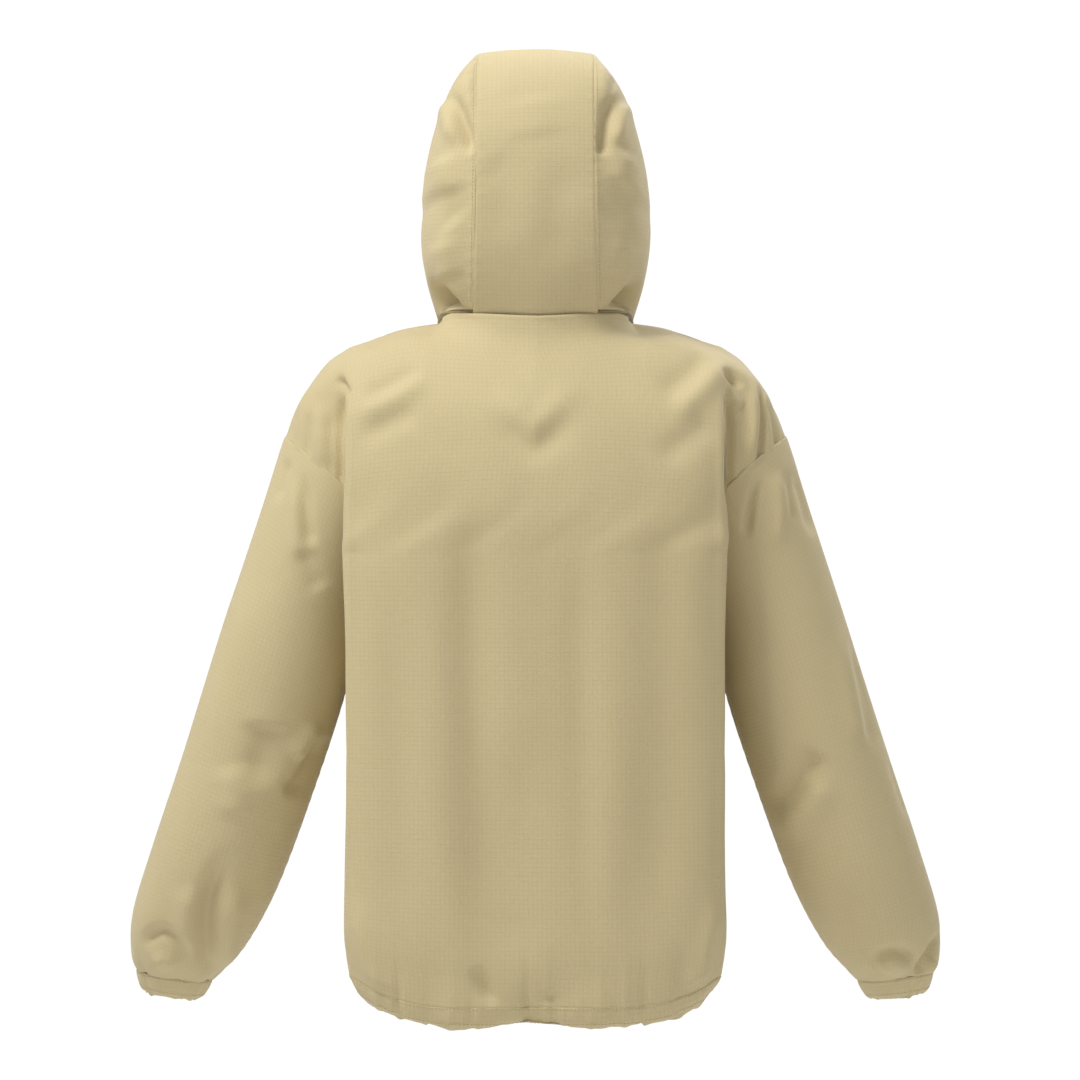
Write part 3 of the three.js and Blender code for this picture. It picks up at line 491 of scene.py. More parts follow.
def woven_tape(name, light, dark, pitch=0.0011):
    """A tape with a herringbone of slanting ribs."""
    look = Look(name, roughness=0.85, sheen=0.1)
    u, v = look.uv()
    phase = look.math("FRACT", look.math("DIVIDE", u, 0.004))
    side = look.math("ABSOLUTE", look.math("SUBTRACT", phase, 0.5))
    slant = look.math("ADD", v, look.math("MULTIPLY", side, 0.004))
    rib = look.math("MULTIPLY", look.math("ADD", look.wave(slant, pitch), 1.0), 0.5)
    look.colour(look.mix(look.math("ADD", look.math("MULTIPLY", rib, 0.6), 0.1), dark, light))
    look.bump(rib, 0.0002)
    return look.material


def plastic(name, light, dark, roughness, coat=0.0):
    """Moulded plastic with a faint mottle and a fine grain."""
    look = Look(name, roughness=roughness, coat=coat)
    look.colour(look.mix(look.noise(240.0), light, dark))
    look.bump(look.noise(2600.0, 2.0), 0.00004, 0.4)
    return look.material


def twisted_thread(name, light, dark):
    look = Look(name, roughness=0.7, sheen=0.2)
    look.colour(look.mix(look.noise(1400.0, 2.0), light, dark))
    look.bump(look.noise(2400.0, 1.0), 0.00006, 0.5)
    return look.material


SHELL = ripstop("shell_ripstop", linear(199, 183, 140), linear(193, 177, 134))
LINING = ripstop("lining_cloth", linear(186, 170, 131), linear(178, 161, 122), 0.3)
TAPE = woven_tape("zip_tape", linear(180, 163, 122), linear(150, 133, 96))
BINDING = woven_tape("bias_binding", linear(196, 180, 140), linear(176, 159, 120), 0.0009)
TEETH = plastic("zip_plastic", linear(142, 127, 88), linear(122, 107, 70), 0.38, 0.2)
METAL = plastic("slider_paint", linear(150, 136, 98), linear(128, 113, 76), 0.32, 0.3)
VEIL = twisted_thread("veil_thread", linear(30, 29, 26), linear(18, 18, 16))
THREAD = twisted_thread("sewing_thread", linear(176, 159, 120), linear(160, 143, 105))
ELASTIC = woven_tape("elastic", linear(236, 232, 222), linear(205, 200, 188), 0.0014)
BONING = plastic("boning", linear(222, 219, 208), linear(206, 202, 190), 0.45)

# ---------------------------------------------------------------- neckline
NECK_RADIUS = 97.0
NECK_TILT = math.radians(35)
NECK_CENTRE = np.array([0.0, -2.0, -10.0])
NECK_FRONT_ARC, NECK_SIDE_TURN, NECK_BACK_DIP = 85.0, 110.0, 5.0
NECK_BAND, NECK_BAND_BACK = 9.8, 4.5
CAD_CLOTH = 1.6
HOOD_SEAM_HALF, HOOD_SEAM_FLARE = 57.5, 4.5
NECK_BACK_SEAM = 180 - math.degrees(math.asin((HOOD_SEAM_HALF + HOOD_SEAM_FLARE) / NECK_RADIUS))


def neck_height(turn):
    """The height of the neckline at turn degrees from the front."""

    def on_circle(t):
        return NECK_CENTRE[2] - NECK_RADIUS * math.sin(NECK_TILT) * np.cos(np.radians(t))

    span = NECK_SIDE_TURN - NECK_FRONT_ARC
    t = np.clip((turn - NECK_FRONT_ARC) / span, 0, 1)
    slope = NECK_RADIUS * math.sin(NECK_TILT) * math.sin(math.radians(NECK_FRONT_ARC)) * math.radians(span)
    between = (2 * t**3 - 3 * t**2 + 1) * on_circle(NECK_FRONT_ARC) + (t**3 - 2 * t**2 + t) * slope
    back = -NECK_BACK_DIP * smoothstep((turn - NECK_SIDE_TURN) / (180 - NECK_SIDE_TURN))
    return np.where(turn <= NECK_FRONT_ARC, on_circle(turn), np.where(turn >= NECK_SIDE_TURN, back, between))


def back_share(turn):
    return smoothstep((np.abs(turn) - NECK_FRONT_ARC) / (NECK_SIDE_TURN - NECK_FRONT_ARC))


def band_direction(turn):
    """The way that the neck band stands, at each turn."""
    front = np.array([0, -math.sin(NECK_TILT), math.cos(NECK_TILT)])
    share = back_share(turn)[..., None]
    return unit(front * (1 - share) + np.array([0, 0.1, 1.0]) * share)


def band_half(turn):
    share = back_share(turn)
    return NECK_BAND * (1 - share) + NECK_BAND_BACK * share


def neck(turn, raised=0.0):
    """Points of the neckline, raised along the neck band."""
    turn = np.atleast_1d(np.asarray(turn, float))
    t = np.abs(turn)
    x = np.sign(turn) * NECK_RADIUS * np.sin(np.radians(t))
    y = NECK_CENTRE[1] - NECK_RADIUS * math.cos(NECK_TILT) * np.cos(np.radians(t))
    points = np.stack([x, y, neck_height(t)], axis=-1)
    return points + band_direction(turn) * np.broadcast_to(raised, t.shape)[..., None]


def body_neck(turn):
    turn = np.atleast_1d(np.asarray(turn, float))
    return neck(turn, -band_half(turn) - CAD_CLOTH)


def hood_neck(turn):
    turn = np.atleast_1d(np.asarray(turn, float))
    return neck(turn, band_half(turn))


# ---------------------------------------------------------------- body panels
BODY_HALF_WIDTH, BACK_DEPTH, BODY_LENGTH = 187.0, 133.0, 690.0
HEM_HEIGHT, HEM_PULL_IN = 22.0, 20.0
HEM_BOTTOM = -NECK_BACK_DIP - BODY_LENGTH
HEM_TOP = HEM_BOTTOM + HEM_HEIGHT
SLEEVE_TOP = np.array([252.0, 0, -125])
SLEEVE_UNDER = np.array([142.0, 0, -235])
ARMHOLE_DEPTH = 70.0
ARMHOLE_BOW = 9.0  # how far the seam bows up at the back
ZIP_SLOPE = 0.1026
ZIP_TOP = neck(0, -NECK_BAND)[0]
ZIP_ANGLE = math.atan(ZIP_SLOPE)
ZIP_END_CLEAR = 3.0
ZIP_LENGTH = (ZIP_TOP[2] - HEM_BOTTOM - ZIP_END_CLEAR) / math.cos(ZIP_ANGLE)
ZIP_HALF_TAPE, FRONT_EDGE = 11.4, 11.9
SHOULDER_TURN = 100.0


def zip_y(z):
    return ZIP_TOP[1] + (z - ZIP_TOP[2]) * ZIP_SLOPE


def armhole(angle, out=0.0):
    """Points of the armhole seam: angle 0 is its top, 90 its back, 180 the underarm and -90 its front."""
    middle, half = (SLEEVE_TOP + SLEEVE_UNDER) / 2, (SLEEVE_TOP - SLEEVE_UNDER) / 2
    away = unit(np.array([half[2], 0, -half[0]]))
    angle = np.radians(np.atleast_1d(np.asarray(angle, float)))[:, None]
    out = out - ARMHOLE_BOW * np.maximum(np.sin(angle), 0) ** 2
    return middle + half * np.cos(angle) + np.array([0, ARMHOLE_DEPTH, 0]) * np.sin(angle) + away * out


FOLD_SHARE = 0.34  # of the half back, from its side out to the fold that hangs over the sleeve


def folded_row(side, back):
    """A row of the half back in two stretches that meet at the long fold."""
    outer, inner = through(side), through(*back)

    def at(u):
        near, far = outer(u / FOLD_SHARE), inner((u - FOLD_SHARE) / (1 - FOLD_SHARE))
        return np.where((u < FOLD_SHARE)[:, None], near, far)

    return at


def lower_back(z, half, depth, tuck, fold):
    """A row below the arm: the side drawn in by tuck, out to the fold, and across the back."""
    x, y = fold
    steps = ((0, 1), (0.3, 0.8), (0.62, 0.36), (0.86, 0.05))
    side = [(half - tuck * draw, y * share, z) for share, draw in steps]
    ease = depth - y
    back = [(x, y, z), (x - 13, y + 0.36 * ease, z), (x - 42, y + 0.7 * ease, z)]
    back += [(x - 88, y + 0.92 * ease, z), (48, y + 0.99 * ease, z), (0, depth, z)]
    return folded_row([*side, (x, y, z)], [back])


def lower_front(z, half, tuck):
    """A row below the arm, from the side seam to the front zip."""
    points = []
    for a in np.linspace(0, math.pi / 2, 13):
        side = tuck * math.exp(-((a / (math.pi / 2) / 0.4) ** 4))
        x = FRONT_EDGE + (half - FRONT_EDGE) * max(math.cos(a), 0) ** (2 / 2.7) - side
        points.append((x, zip_y(z) * math.sin(a) ** (2 / 2.7), z))
    return through(points)


def between(share):
    return HEM_TOP + (SLEEVE_UNDER[2] - HEM_TOP) * share


# height, half width, depth of the back, tuck under the arm, and the long fold's (x, y)
LOWER_ROWS = [
    (HEM_TOP, BODY_HALF_WIDTH - 6, BACK_DEPTH - 11, 0, (171, 92)),
    (between(0.06), BODY_HALF_WIDTH - 3, BACK_DEPTH - 8, 0, (176, 94)),
    (between(0.16), BODY_HALF_WIDTH - 1, BACK_DEPTH - 4, 0, (178.5, 96)),
    (between(0.42), BODY_HALF_WIDTH - 3, BACK_DEPTH - 2, 0, (179.5, 98)),
    (between(0.67), BODY_HALF_WIDTH - 5, BACK_DEPTH, 6, (181.5, 99)),
    (between(0.85), BODY_HALF_WIDTH - 6, BACK_DEPTH + 1, BODY_HALF_WIDTH - 7 - SLEEVE_UNDER[0], (185, 99)),
    (SLEEVE_UNDER[2], BODY_HALF_WIDTH - 8, BACK_DEPTH + 2, BODY_HALF_WIDTH - 8 - SLEEVE_UNDER[0], (187, 98)),
]
ARMHOLE_ANGLES = [180, 125, 85, 48, 20, 0]


def by_neck(turn, x, y, z):
    return tuple(body_neck(turn)[0] + (x, y, z))


def neck_row(*turns):
    return [tuple(body_neck(t)[0]) for t in turns]


SHOULDER_FOLD = (185, 8.6, -30)
SEAM_OUT = [tuple(SLEEVE_TOP), (231, 3, -77), (210, 6, -48), SHOULDER_FOLD]
SEAM_IN = [SHOULDER_FOLD, (141, 8, -17), tuple(body_neck(SHOULDER_TURN)[0])]


def arm(angle):
    return tuple(armhole(angle)[0])


YOKE_ROWS = [
    folded_row(
        [arm(125), (168, 66, -206), (177, 80, -203), (187, 97, -200)],
        [[(187, 97, -200), (175, 109, -197), (142, 121, -194),
            (98, 130, -192), (50, 134, -190), (0, 135, -190)]],
    ),
    folded_row(
        [arm(85), (191, 71, -164), (182, 80, -157), (187, 96, -152)],
        [[(187, 96, -152), (174, 107, -148), (147, 115, -144),
            (100, 122, -141), (50, 127, -139), (0, 128, -138)]],
    ),
    folded_row(
        [arm(48), (215, 59, -120), (194, 64, -106), (184, 73, -100), (186, 86, -96)],
        [[(186, 86, -96), (173, 93, -91), (150, 98, -88), (102, 105, -86), (52, 111, -86), (0, 114, -86)]],
    ),
    folded_row(
        [arm(20), (230, 36, -86), (209, 43, -63), (195, 48, -53), (185, 54, -48)],
        [[(185, 54, -48), (160, 56, -38), (130, 57, -29), by_neck(127, 15, 24, -23), by_neck(153, 4, 15, -24),
          by_neck(180, 0, 12, -25)]],
    ),
    folded_row(SEAM_OUT, [SEAM_IN, neck_row(SHOULDER_TURN, 114, 127, 140, 153, 166, 180)]),
]

FRONT_YOKE = [
    ([arm(-125), (173, -74, -209), (167, -92, -206), (142, -104, -205),
        (100, -106, -205), (56, -99, -205)], -205),
    ([arm(-85), (196, -80, -166), (177, -90, -160), (143, -98, -158),
        (100, -100, -158), (56, -94, -158)], -158),
    ([arm(-48), (225, -58, -122), (197, -67, -110), (151, -78, -106),
        (103, -86, -108), (56, -86, -114)], -120),
    ([arm(-20), (229, -28, -88), (196, -34, -58), (140, -42, -48), by_neck(72, 12, -34, -25),
      by_neck(39, -1, -13, -22)], ZIP_TOP[2] - 22),
]


def body_edge(surface, side):
    """The side seam up to the underarm, and from there one side of the armhole."""
    first = len(LOWER_ROWS) - 1

    def edge(v):
        row = v * (first + len(ARMHOLE_ANGLES) - 1) - first
        seam = surface(np.zeros(1), v)[:, 0] * (1, 0, 1)
        hole = armhole(side * np.interp(np.maximum(row, 0), range(len(ARMHOLE_ANGLES)), ARMHOLE_ANGLES))
        return np.where((row <= 0)[:, None], seam, hole)

    return edge


loose_back = loft([lower_back(*row) for row in LOWER_ROWS] + YOKE_ROWS)
half_back = pinned(loose_back, body_edge(loose_back, 1))


def back_surface(u, v):
    """u runs from the left side seam, across the back, to the right one."""
    left = half_back(np.minimum(2 * u, 1), v)
    right = half_back(np.minimum(2 - 2 * u, 1), v) * (-1, 1, 1)
    return np.where((u <= 0.5)[None, :, None], left, right)


loose_front = loft(
    [lower_front(z, half, tuck) for z, half, _, tuck, _ in LOWER_ROWS]
    + [through([*row, (FRONT_EDGE, zip_y(z), z)]) for row, z in FRONT_YOKE]
    + [through(SEAM_OUT, SEAM_IN, neck_row(SHOULDER_TURN, 86, 72, 56, 39, 22, 7))]
)
left_front = pinned(loose_front, body_edge(loose_front, -1))

# Folds of the back, as lines of (x, z) seen from behind, with their width and height.
BACK_FOLDS = [
    ([(45, -72), (22, -97), (1, -111), (-19, -96), (-50, -62)], 14, 3.0),  # the V between the shoulder blades
    ([(48, -94), (22, -118), (1, -133), (-17, -120), (-46, -88)], 14, -3.0),
    ([(176, -104), (140, -88), (100, -62)], 11, 3.6),  # from the shoulders' corners towards the neck
    ([(172, -84), (140, -70), (108, -52)], 9, -2.4),
    ([(178, -126), (146, -112), (108, -92)], 12, -2.2),
    ([(-186, -42), (-164, -74), (-128, -108)], 12, 4.2),
    ([(-172, -40), (-146, -62), (-118, -84)], 13, -2.6),
    ([(-176, -104), (-150, -122), (-112, -150)], 14, -2.8),
    ([(58, -150), (60, -300), (53, -500), (46, -668)], 24, -5.5),  # long soft columns down the back
    ([(14, -380), (20, -540), (14, -650)], 28, -4.2),
    ([(90, -190), (92, -400), (86, -640)], 26, 1.8),
    ([(-40, -180), (-44, -400), (-54, -640)], 16, -1.9),
    ([(-74, -230), (-76, -420), (-70, -655)], 22, 1.6),
    ([(-128, -160), (-122, -400), (-126, -640)], 26, -3.2),
    ([(136, -240), (132, -460), (136, -640)], 22, -2.2),
    ([(60, -628), (44, -664), (30, -690)], 8, -5.0),  # two folds that run into the hem
    ([(-8, -655), (-20, -676), (-30, -696)], 7, -4.0),
    ([(176, -560), (160, -640), (140, -690)], 13, 3.0),
    ([(-178, -560), (-164, -636), (-148, -688)], 12, 3.0),
    ([(200, -92), (200, -128), (198, -168)], 6, -1.8),  # down the dropped shoulder into the sleeve
    ([(210, -80), (211, -120), (210, -160)], 8, 1.4),
    ([(222, -92), (224, -122), (228, -152)], 5, -2.2),
    ([(236, -88), (240, -112), (243, -138)], 5, -1.8),
    ([(196, -60), (188, -72), (180, -80)], 4, -4.0),
    ([(-222, -62), (-225, -100), (-218, -164)], 3.6, -4.6),
    ([(-214, -66), (-215, -106), (-208, -156)], 6, 2.8),
    ([(-230, -74), (-237, -112), (-243, -150)], 3.6, -3.0),
    ([(188, -66), (191, -120), (190, -196)], 4.5, -4.5),  # beside the hanging back's long fold
    ([(-188, -62), (-189, -120), (-188, -196)], 4.5, -5.0),
    ([(181, -60), (181, -160), (180, -420), (178, -640)], 4.5, 1.6),
    ([(-181, -60), (-181, -160), (-180, -420), (-178, -640)], 4.5, 1.8),
    ([(-183, -62), (-191, -60), (-204, -74)], 4.5, -5.0),
    ([(-186, -78), (-196, -84), (-204, -92)], 5, 2.4),
]
FRONT_FOLDS = [
    ([(40, -120), (70, -300), (66, -520), (60, -660)], 18, -4.0),
    ([(150, -230), (128, -380), (124, -640)], 22, 4.0),
    ([(170, -120), (130, -150), (80, -180)], 13, -4.0),
    ([(196, -84), (206, -120), (196, -165)], 7, -3.6),
    ([(225, -80), (232, -110), (226, -150)], 6, -2.6),
    ([(100, -280), (96, -420), (100, -600)], 18, -2.4),
    ([(178, -250), (150, -300), (120, -330)], 14, 3.4),
]
GATHER_SEED = 11
RING_HALF = 560.0  # farthest distance round the hem, from the middle of the back


def hem_gathers(run):
    """The gathers of the drawn-in hem, by distance from the middle of the back, left being positive."""
    recess = -4.5 * np.exp(-(((run + 8) / 26) ** 2))
    bulges = 2.5 * (np.exp(-(((run - 62) / 26) ** 2)) + np.exp(-(((run + 62) / 26) ** 2)))
    return recess + bulges + gathers(run, GATHER_SEED, -RING_HALF, RING_HALF)


def near_hem(cloth):
    """1 at the hem seam, easing to 0 above it."""
    return np.exp(-((cloth.up / 36) ** 1.4))


HEM_SIDE_RISE = 25.0  # the drawn-in hem rides up at the sides


def raise_sides(cloth, share):
    beyond = np.clip((np.abs(cloth.points[..., 0]) - 78) / 100, 0, 1)
    cloth.points[..., 2] += HEM_SIDE_RISE * beyond**2.2 * share
    cloth.measure()


NECK_LIP = 7.5  # the back of the neckline stands up in front of the zip
SHOULDER_LIFT = 3.6
SHOULDER_AT = 95.5  # where the shoulder seam meets the neckline


def raise_neck(cloth, is_back):
    """Stands the neckline up at the back, and lifts the shoulders beside it."""
    x = np.abs(cloth.points[..., 0])
    beyond = SHOULDER_LIFT * smoothstep((196 - x) / 80)
    if is_back:
        inside = SHOULDER_LIFT + (NECK_LIP - SHOULDER_LIFT) * smoothstep((SHOULDER_AT - x) / 16)
    else:
        inside = SHOULDER_LIFT * smoothstep((x - 62) / (SHOULDER_AT - 62))
    fade = np.exp(-(((cloth.height - cloth.up) / 17) ** 2))
    cloth.points[..., 2] += np.where(x > SHOULDER_AT, beyond, inside) * fade
    if is_back:
        close = np.exp(-(((cloth.height - cloth.up) / 12) ** 2))
        cloth.points[..., 1] += 4.5 * smoothstep((SHOULDER_AT - x) / 24) * close
    cloth.measure()


back = Cloth(back_surface, sewn=("left", "right", "bottom"), step=2.3)
raise_neck(back, True)
MIDDLE_RUN = back.along - back.width / 2
back.move(
    folds(back, BACK_FOLDS) * smoothstep(np.minimum(back.along, back.width - back.along) / 10)
    * smoothstep(back.up / 16)
    + soft_waves(back, 3)
    + hem_gathers(-MIDDLE_RUN) * near_hem(back)
)
SIDE_RUN = float(back.width[0, 0] / 2)
raise_sides(back, np.exp(-((back.up / 62) ** 2)))
back.turn_in()
LIP_HEIGHT, LIP_REACH = 1.6, 3.0  # of the rolled edge at the back of the neck
top = back.height - back.up
back.move(LIP_HEIGHT * np.exp(-((top / LIP_REACH) ** 2)) * (np.abs(back.points[..., 0]) < 92))

fronts = {}
for side, sign in (("left", 1), ("right", -1)):
    surface = left_front if sign > 0 else mirrored(left_front)
    edges = ("right", "bottom", "top") if sign > 0 else ("left", "bottom", "top")
    front = Cloth(surface, flip=sign > 0, sewn=edges)
    raise_neck(front, False)
    from_side = front.width - front.along if sign > 0 else front.along
    moved = [([(x * sign, z) for x, z in line], wide, high) for line, wide, high in FRONT_FOLDS]
    beside_zip = smoothstep((np.abs(front.points[..., 0]) - FRONT_EDGE) / 26)
    free = smoothstep(from_side / 10) * smoothstep((front.height - front.up) / 14) * beside_zip
    front.move(
        folds(front, moved, facing=-1) * free
        + soft_waves(front, 5 + sign) * beside_zip
        + hem_gathers(sign * (SIDE_RUN + from_side)) * near_hem(front) * beside_zip
    )
    raise_sides(front, np.exp(-((front.up / 62) ** 2)))
    front.turn_in()
    fronts[side] = front

back_panel = build("back_cloth", back, SHELL)
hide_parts("back_panel")
front_panels = {}
for side, front in fronts.items():
    front_panels[side] = build(f"front_cloth_{side}", front, SHELL)
    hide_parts(f"front_panel_{side}")


# ---------------------------------------------------------------- hem
CASING_ROOM = 5.0  # between the outer and the inner wall of the hem or a cuff
CASING_CLOTH = 0.7  # its thickness
STRAP_DEPTH = 2.5  # of the elastic, inwards from the outer wall, before it is gathered
HEM_TURN = 26  # along the casing's surface, where the outer wall ends and the inner one begins
CUFF_TURN = 25


def casing_walls(ring, tuck):
    """A casing of rings: down its outer wall from the panels, round its lower edge and up its inner wall."""
    outer = [(1.1, tuck), (0.98, 0.1), (0.7, 0), (0.4, 0), (0.14, 0.2)]
    edge = [(0.02, CASING_ROOM * 0.5)]
    inner = [(0.14, CASING_ROOM), (0.5, CASING_ROOM), (0.95, CASING_ROOM)]
    return loft([ring(height, inwards) for height, inwards in outer + edge + inner])


def hem_ring(height, inwards):
    """A ring of the hem, from left of the zip round the back: height 1 at the panels, 0 at the edge."""
    t = 1 - height
    z = HEM_TOP - (HEM_HEIGHT - 3) * t
    drawn = HEM_PULL_IN * 0.9 * max(t, 0) ** 1.3 + inwards
    half = BODY_HALF_WIDTH - 6 - drawn
    fold = (171 - drawn, 92 - inwards)
    rear = lower_back(z, half, BACK_DEPTH - 11 - 7 * t - inwards, 0, fold)
    points = []
    for a in np.linspace(0, math.pi / 2, 13):
        x = FRONT_EDGE + (half - FRONT_EDGE) * max(math.cos(a), 0) ** (2 / 2.7)
        points.append((x, (zip_y(z) + inwards) * math.sin(a) ** (2 / 2.7), z))
    ahead = through(points)
    even = np.linspace(0, 1, 61)
    left = np.concatenate([ahead(1 - even), rear(even)[1:]])
    whole = np.concatenate([left, left[::-1][1:] * (-1, 1, 1)])
    run = run_of(whole)
    return lambda u: at_run(whole, run, np.clip(u, 0, 1) * run[-1])


casing = Cloth(casing_walls(hem_ring, 1.3), flip=True, step=2.2)
ring_run = casing.along - casing.width / 2
crimps = gathers(ring_run, 29, -RING_HALF, RING_HALF, spacing=11, wide=3.0, high=1.5)
crimps = crimps * smoothstep(casing.up / 9)
puff = 1.1 * np.sin(np.clip((casing.up - 3) / 22, 0, 1) * math.pi)
open_end = smoothstep(np.minimum(casing.along, casing.width - casing.along) / 16)
outside = np.where(casing.up < HEM_TURN, 1, -1)
crimps = np.maximum(crimps, -0.5)
casing.move((hem_gathers(ring_run) + crimps + puff) * outside * open_end)
raise_sides(casing, 1)
rise = 1.4 * np.exp(-(((ring_run - 6) / 30) ** 2)) + 0.9 * np.sin(ring_run / 17) * open_end
casing.points[..., 2] += rise * smoothstep(casing.up / 20)
casing.measure()
hem_casing = build("hem_cloth", casing, SHELL, CASING_CLOTH)
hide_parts("hem_casing")

strap_surface = loft([hem_ring(0.9, STRAP_DEPTH), hem_ring(0.24, STRAP_DEPTH)])
strap = Cloth(strap_surface, flip=True, step=1.6)
strap_run = strap.along - strap.width / 2
strap_free = smoothstep(np.minimum(strap.along, strap.width - strap.along) / 16)
strap.move(hem_gathers(strap_run) * strap_free + 0.3 * np.sin(strap.along / 0.9))
raise_sides(strap, 1)
hem_elastic = build("hem_elastic_band", strap, ELASTIC, 1.0, 0)
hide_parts("hem_elastic")


# ---------------------------------------------------------------- sleeves and cuffs
def arm_ring(x, y, z, lean, across, deep):
    """A ring round the arm. u 0 is the underarm seam."""
    slope = np.array([math.cos(math.radians(lean)), 0, math.sin(math.radians(lean))])

    def at(u):
        a = 2 * math.pi * (u + 0.5)[:, None]
        return np.array([x, y, z]) + slope * across * np.cos(a) + np.array([0, 1, 0]) * deep * np.sin(a)

    return at


CUFF_TOP = np.array([366.0, -46, -663.5])
CUFF_LEAN, CUFF_HALF_WIDTH, CUFF_HEIGHT, CUFF_TAPER = 8.0, 39.0, 20.0, 9.0
SLEEVE_TUCK = 0.975  # its hidden allowance lies inside the body's edge
ARMHOLE_MIDDLE = (SLEEVE_TOP + SLEEVE_UNDER) / 2


def tucked_ring(u):
    ring = armhole(360 * (u + 0.5), -2.5)
    return ARMHOLE_MIDDLE + (ring - ARMHOLE_MIDDLE) * SLEEVE_TUCK


sleeve_surface = loft([
    tucked_ring,
    lambda u: armhole(360 * (u + 0.5), 0.4),
    arm_ring(227, -2, -256, 33, 67, 68),
    arm_ring(254, -4, -350, 24, 69, 69),
    arm_ring(288, -9, -455, 20, 68, 68),
    arm_ring(322, -20, -550, 18, 66, 65),
    arm_ring(348, -33, -612, 15, 60, 58),
    arm_ring(362, -42, -648, 10, 48, 46),
    arm_ring(*CUFF_TOP, CUFF_LEAN, CUFF_HALF_WIDTH, CUFF_HALF_WIDTH - 2),
])
# Folds of the sleeve that lies on the left from behind, and of the right one.
SLEEVE_FOLDS = {
    "left": [
        ([(243, -138), (250, -162), (256, -188)], 5, -2.8),
        ([(228, -152), (224, -200), (218, -232)], 6, -3.2),
        ([(236, -160), (236, -210), (232, -246)], 7, 2.2),
        ([(228, -228), (220, -252), (208, -274)], 11, -2.2),
        ([(262, -398), (266, -424), (276, -470)], 19, -6.0),
        ([(300, -440), (296, -470), (298, -500)], 16, 3.2),
        ([(252, -470), (234, -464), (220, -440), (208, -412)], 8, -6.5),
        ([(240, -440), (226, -424), (214, -400)], 10, 4.0),
        ([(300, -520), (322, -578), (326, -622), (328, -664)], 11, -9.0),
        ([(288, -560), (306, -610), (318, -662)], 11, 5.0),
        ([(342, -560), (346, -600), (350, -640)], 13, 3.6),
        ([(394, -634), (384, -618), (370, -612), (354, -624), (346, -646)], 6.5, -5.0),
        ([(382, -650), (370, -640), (358, -652)], 8, 3.6),
        ([(276, -250), (300, -350), (330, -450)], 22, 2.6),
    ],
    "right": [
        ([(-256, -148), (-266, -184), (-276, -222)], 6, -3.6),
        ([(-222, -160), (-212, -188), (-206, -224)], 5, -4.6),
        ([(-236, -150), (-240, -190), (-236, -236)], 8, 3.0),
        ([(-246, -150), (-252, -180), (-256, -210)], 5, -2.4),
        ([(-312, -306), (-328, -381), (-337, -436)], 8, -4.4),
        ([(-300, -300), (-314, -380), (-322, -430)], 12, 2.6),
        ([(-280, -426), (-262, -456), (-236, -492)], 14, -6.5),
        ([(-290, -456), (-268, -486), (-240, -520)], 15, 4.0),
        ([(-354, -430), (-368, -470), (-376, -500)], 7, -4.0),
        ([(-334, -650), (-342, -638), (-357, -632), (-374, -640), (-384, -656)], 6, -5.0),
        ([(-346, -656), (-358, -646), (-372, -656)], 8, 3.8),
        ([(-414, -612), (-394, -640), (-380, -668)], 5.5, -7.0),
        ([(-404, -640), (-396, -652), (-390, -668)], 5, 3.6),
        ([(-300, -560), (-318, -610), (-334, -650)], 16, -2.6),
    ],
}


def ring_gathers(turn, seed, count, high, wide):
    """Gathers round an arm, by the turn from 0 to 1."""
    draw = np.random.default_rng(seed)
    total = np.zeros(turn.shape)
    for k in range(count):
        place = (k + draw.uniform(-0.3, 0.3)) / count
        away = np.abs((turn - place + 0.5) % 1 - 0.5)
        total += high * draw.uniform(-1.0, 0.8) * np.exp(-((away / wide) ** 2))
    return total


def cuff_ring(height, inwards):
    """A ring of the cuff, height 1 at the sleeve and 0 at the lower edge."""
    half = CUFF_HALF_WIDTH - CUFF_TAPER * (1 - height) - inwards
    lean = math.radians(CUFF_LEAN)
    down = unit(np.array([math.sin(lean), -0.12, -math.cos(lean)]))
    place = CUFF_TOP + down * ((1 - height) * CUFF_HEIGHT)
    return arm_ring(*place, CUFF_LEAN, half, half - 2)


cuff_surface = casing_walls(cuff_ring, 1.6)
cuff_strap_surface = loft([cuff_ring(0.88, STRAP_DEPTH), cuff_ring(0.26, STRAP_DEPTH)])

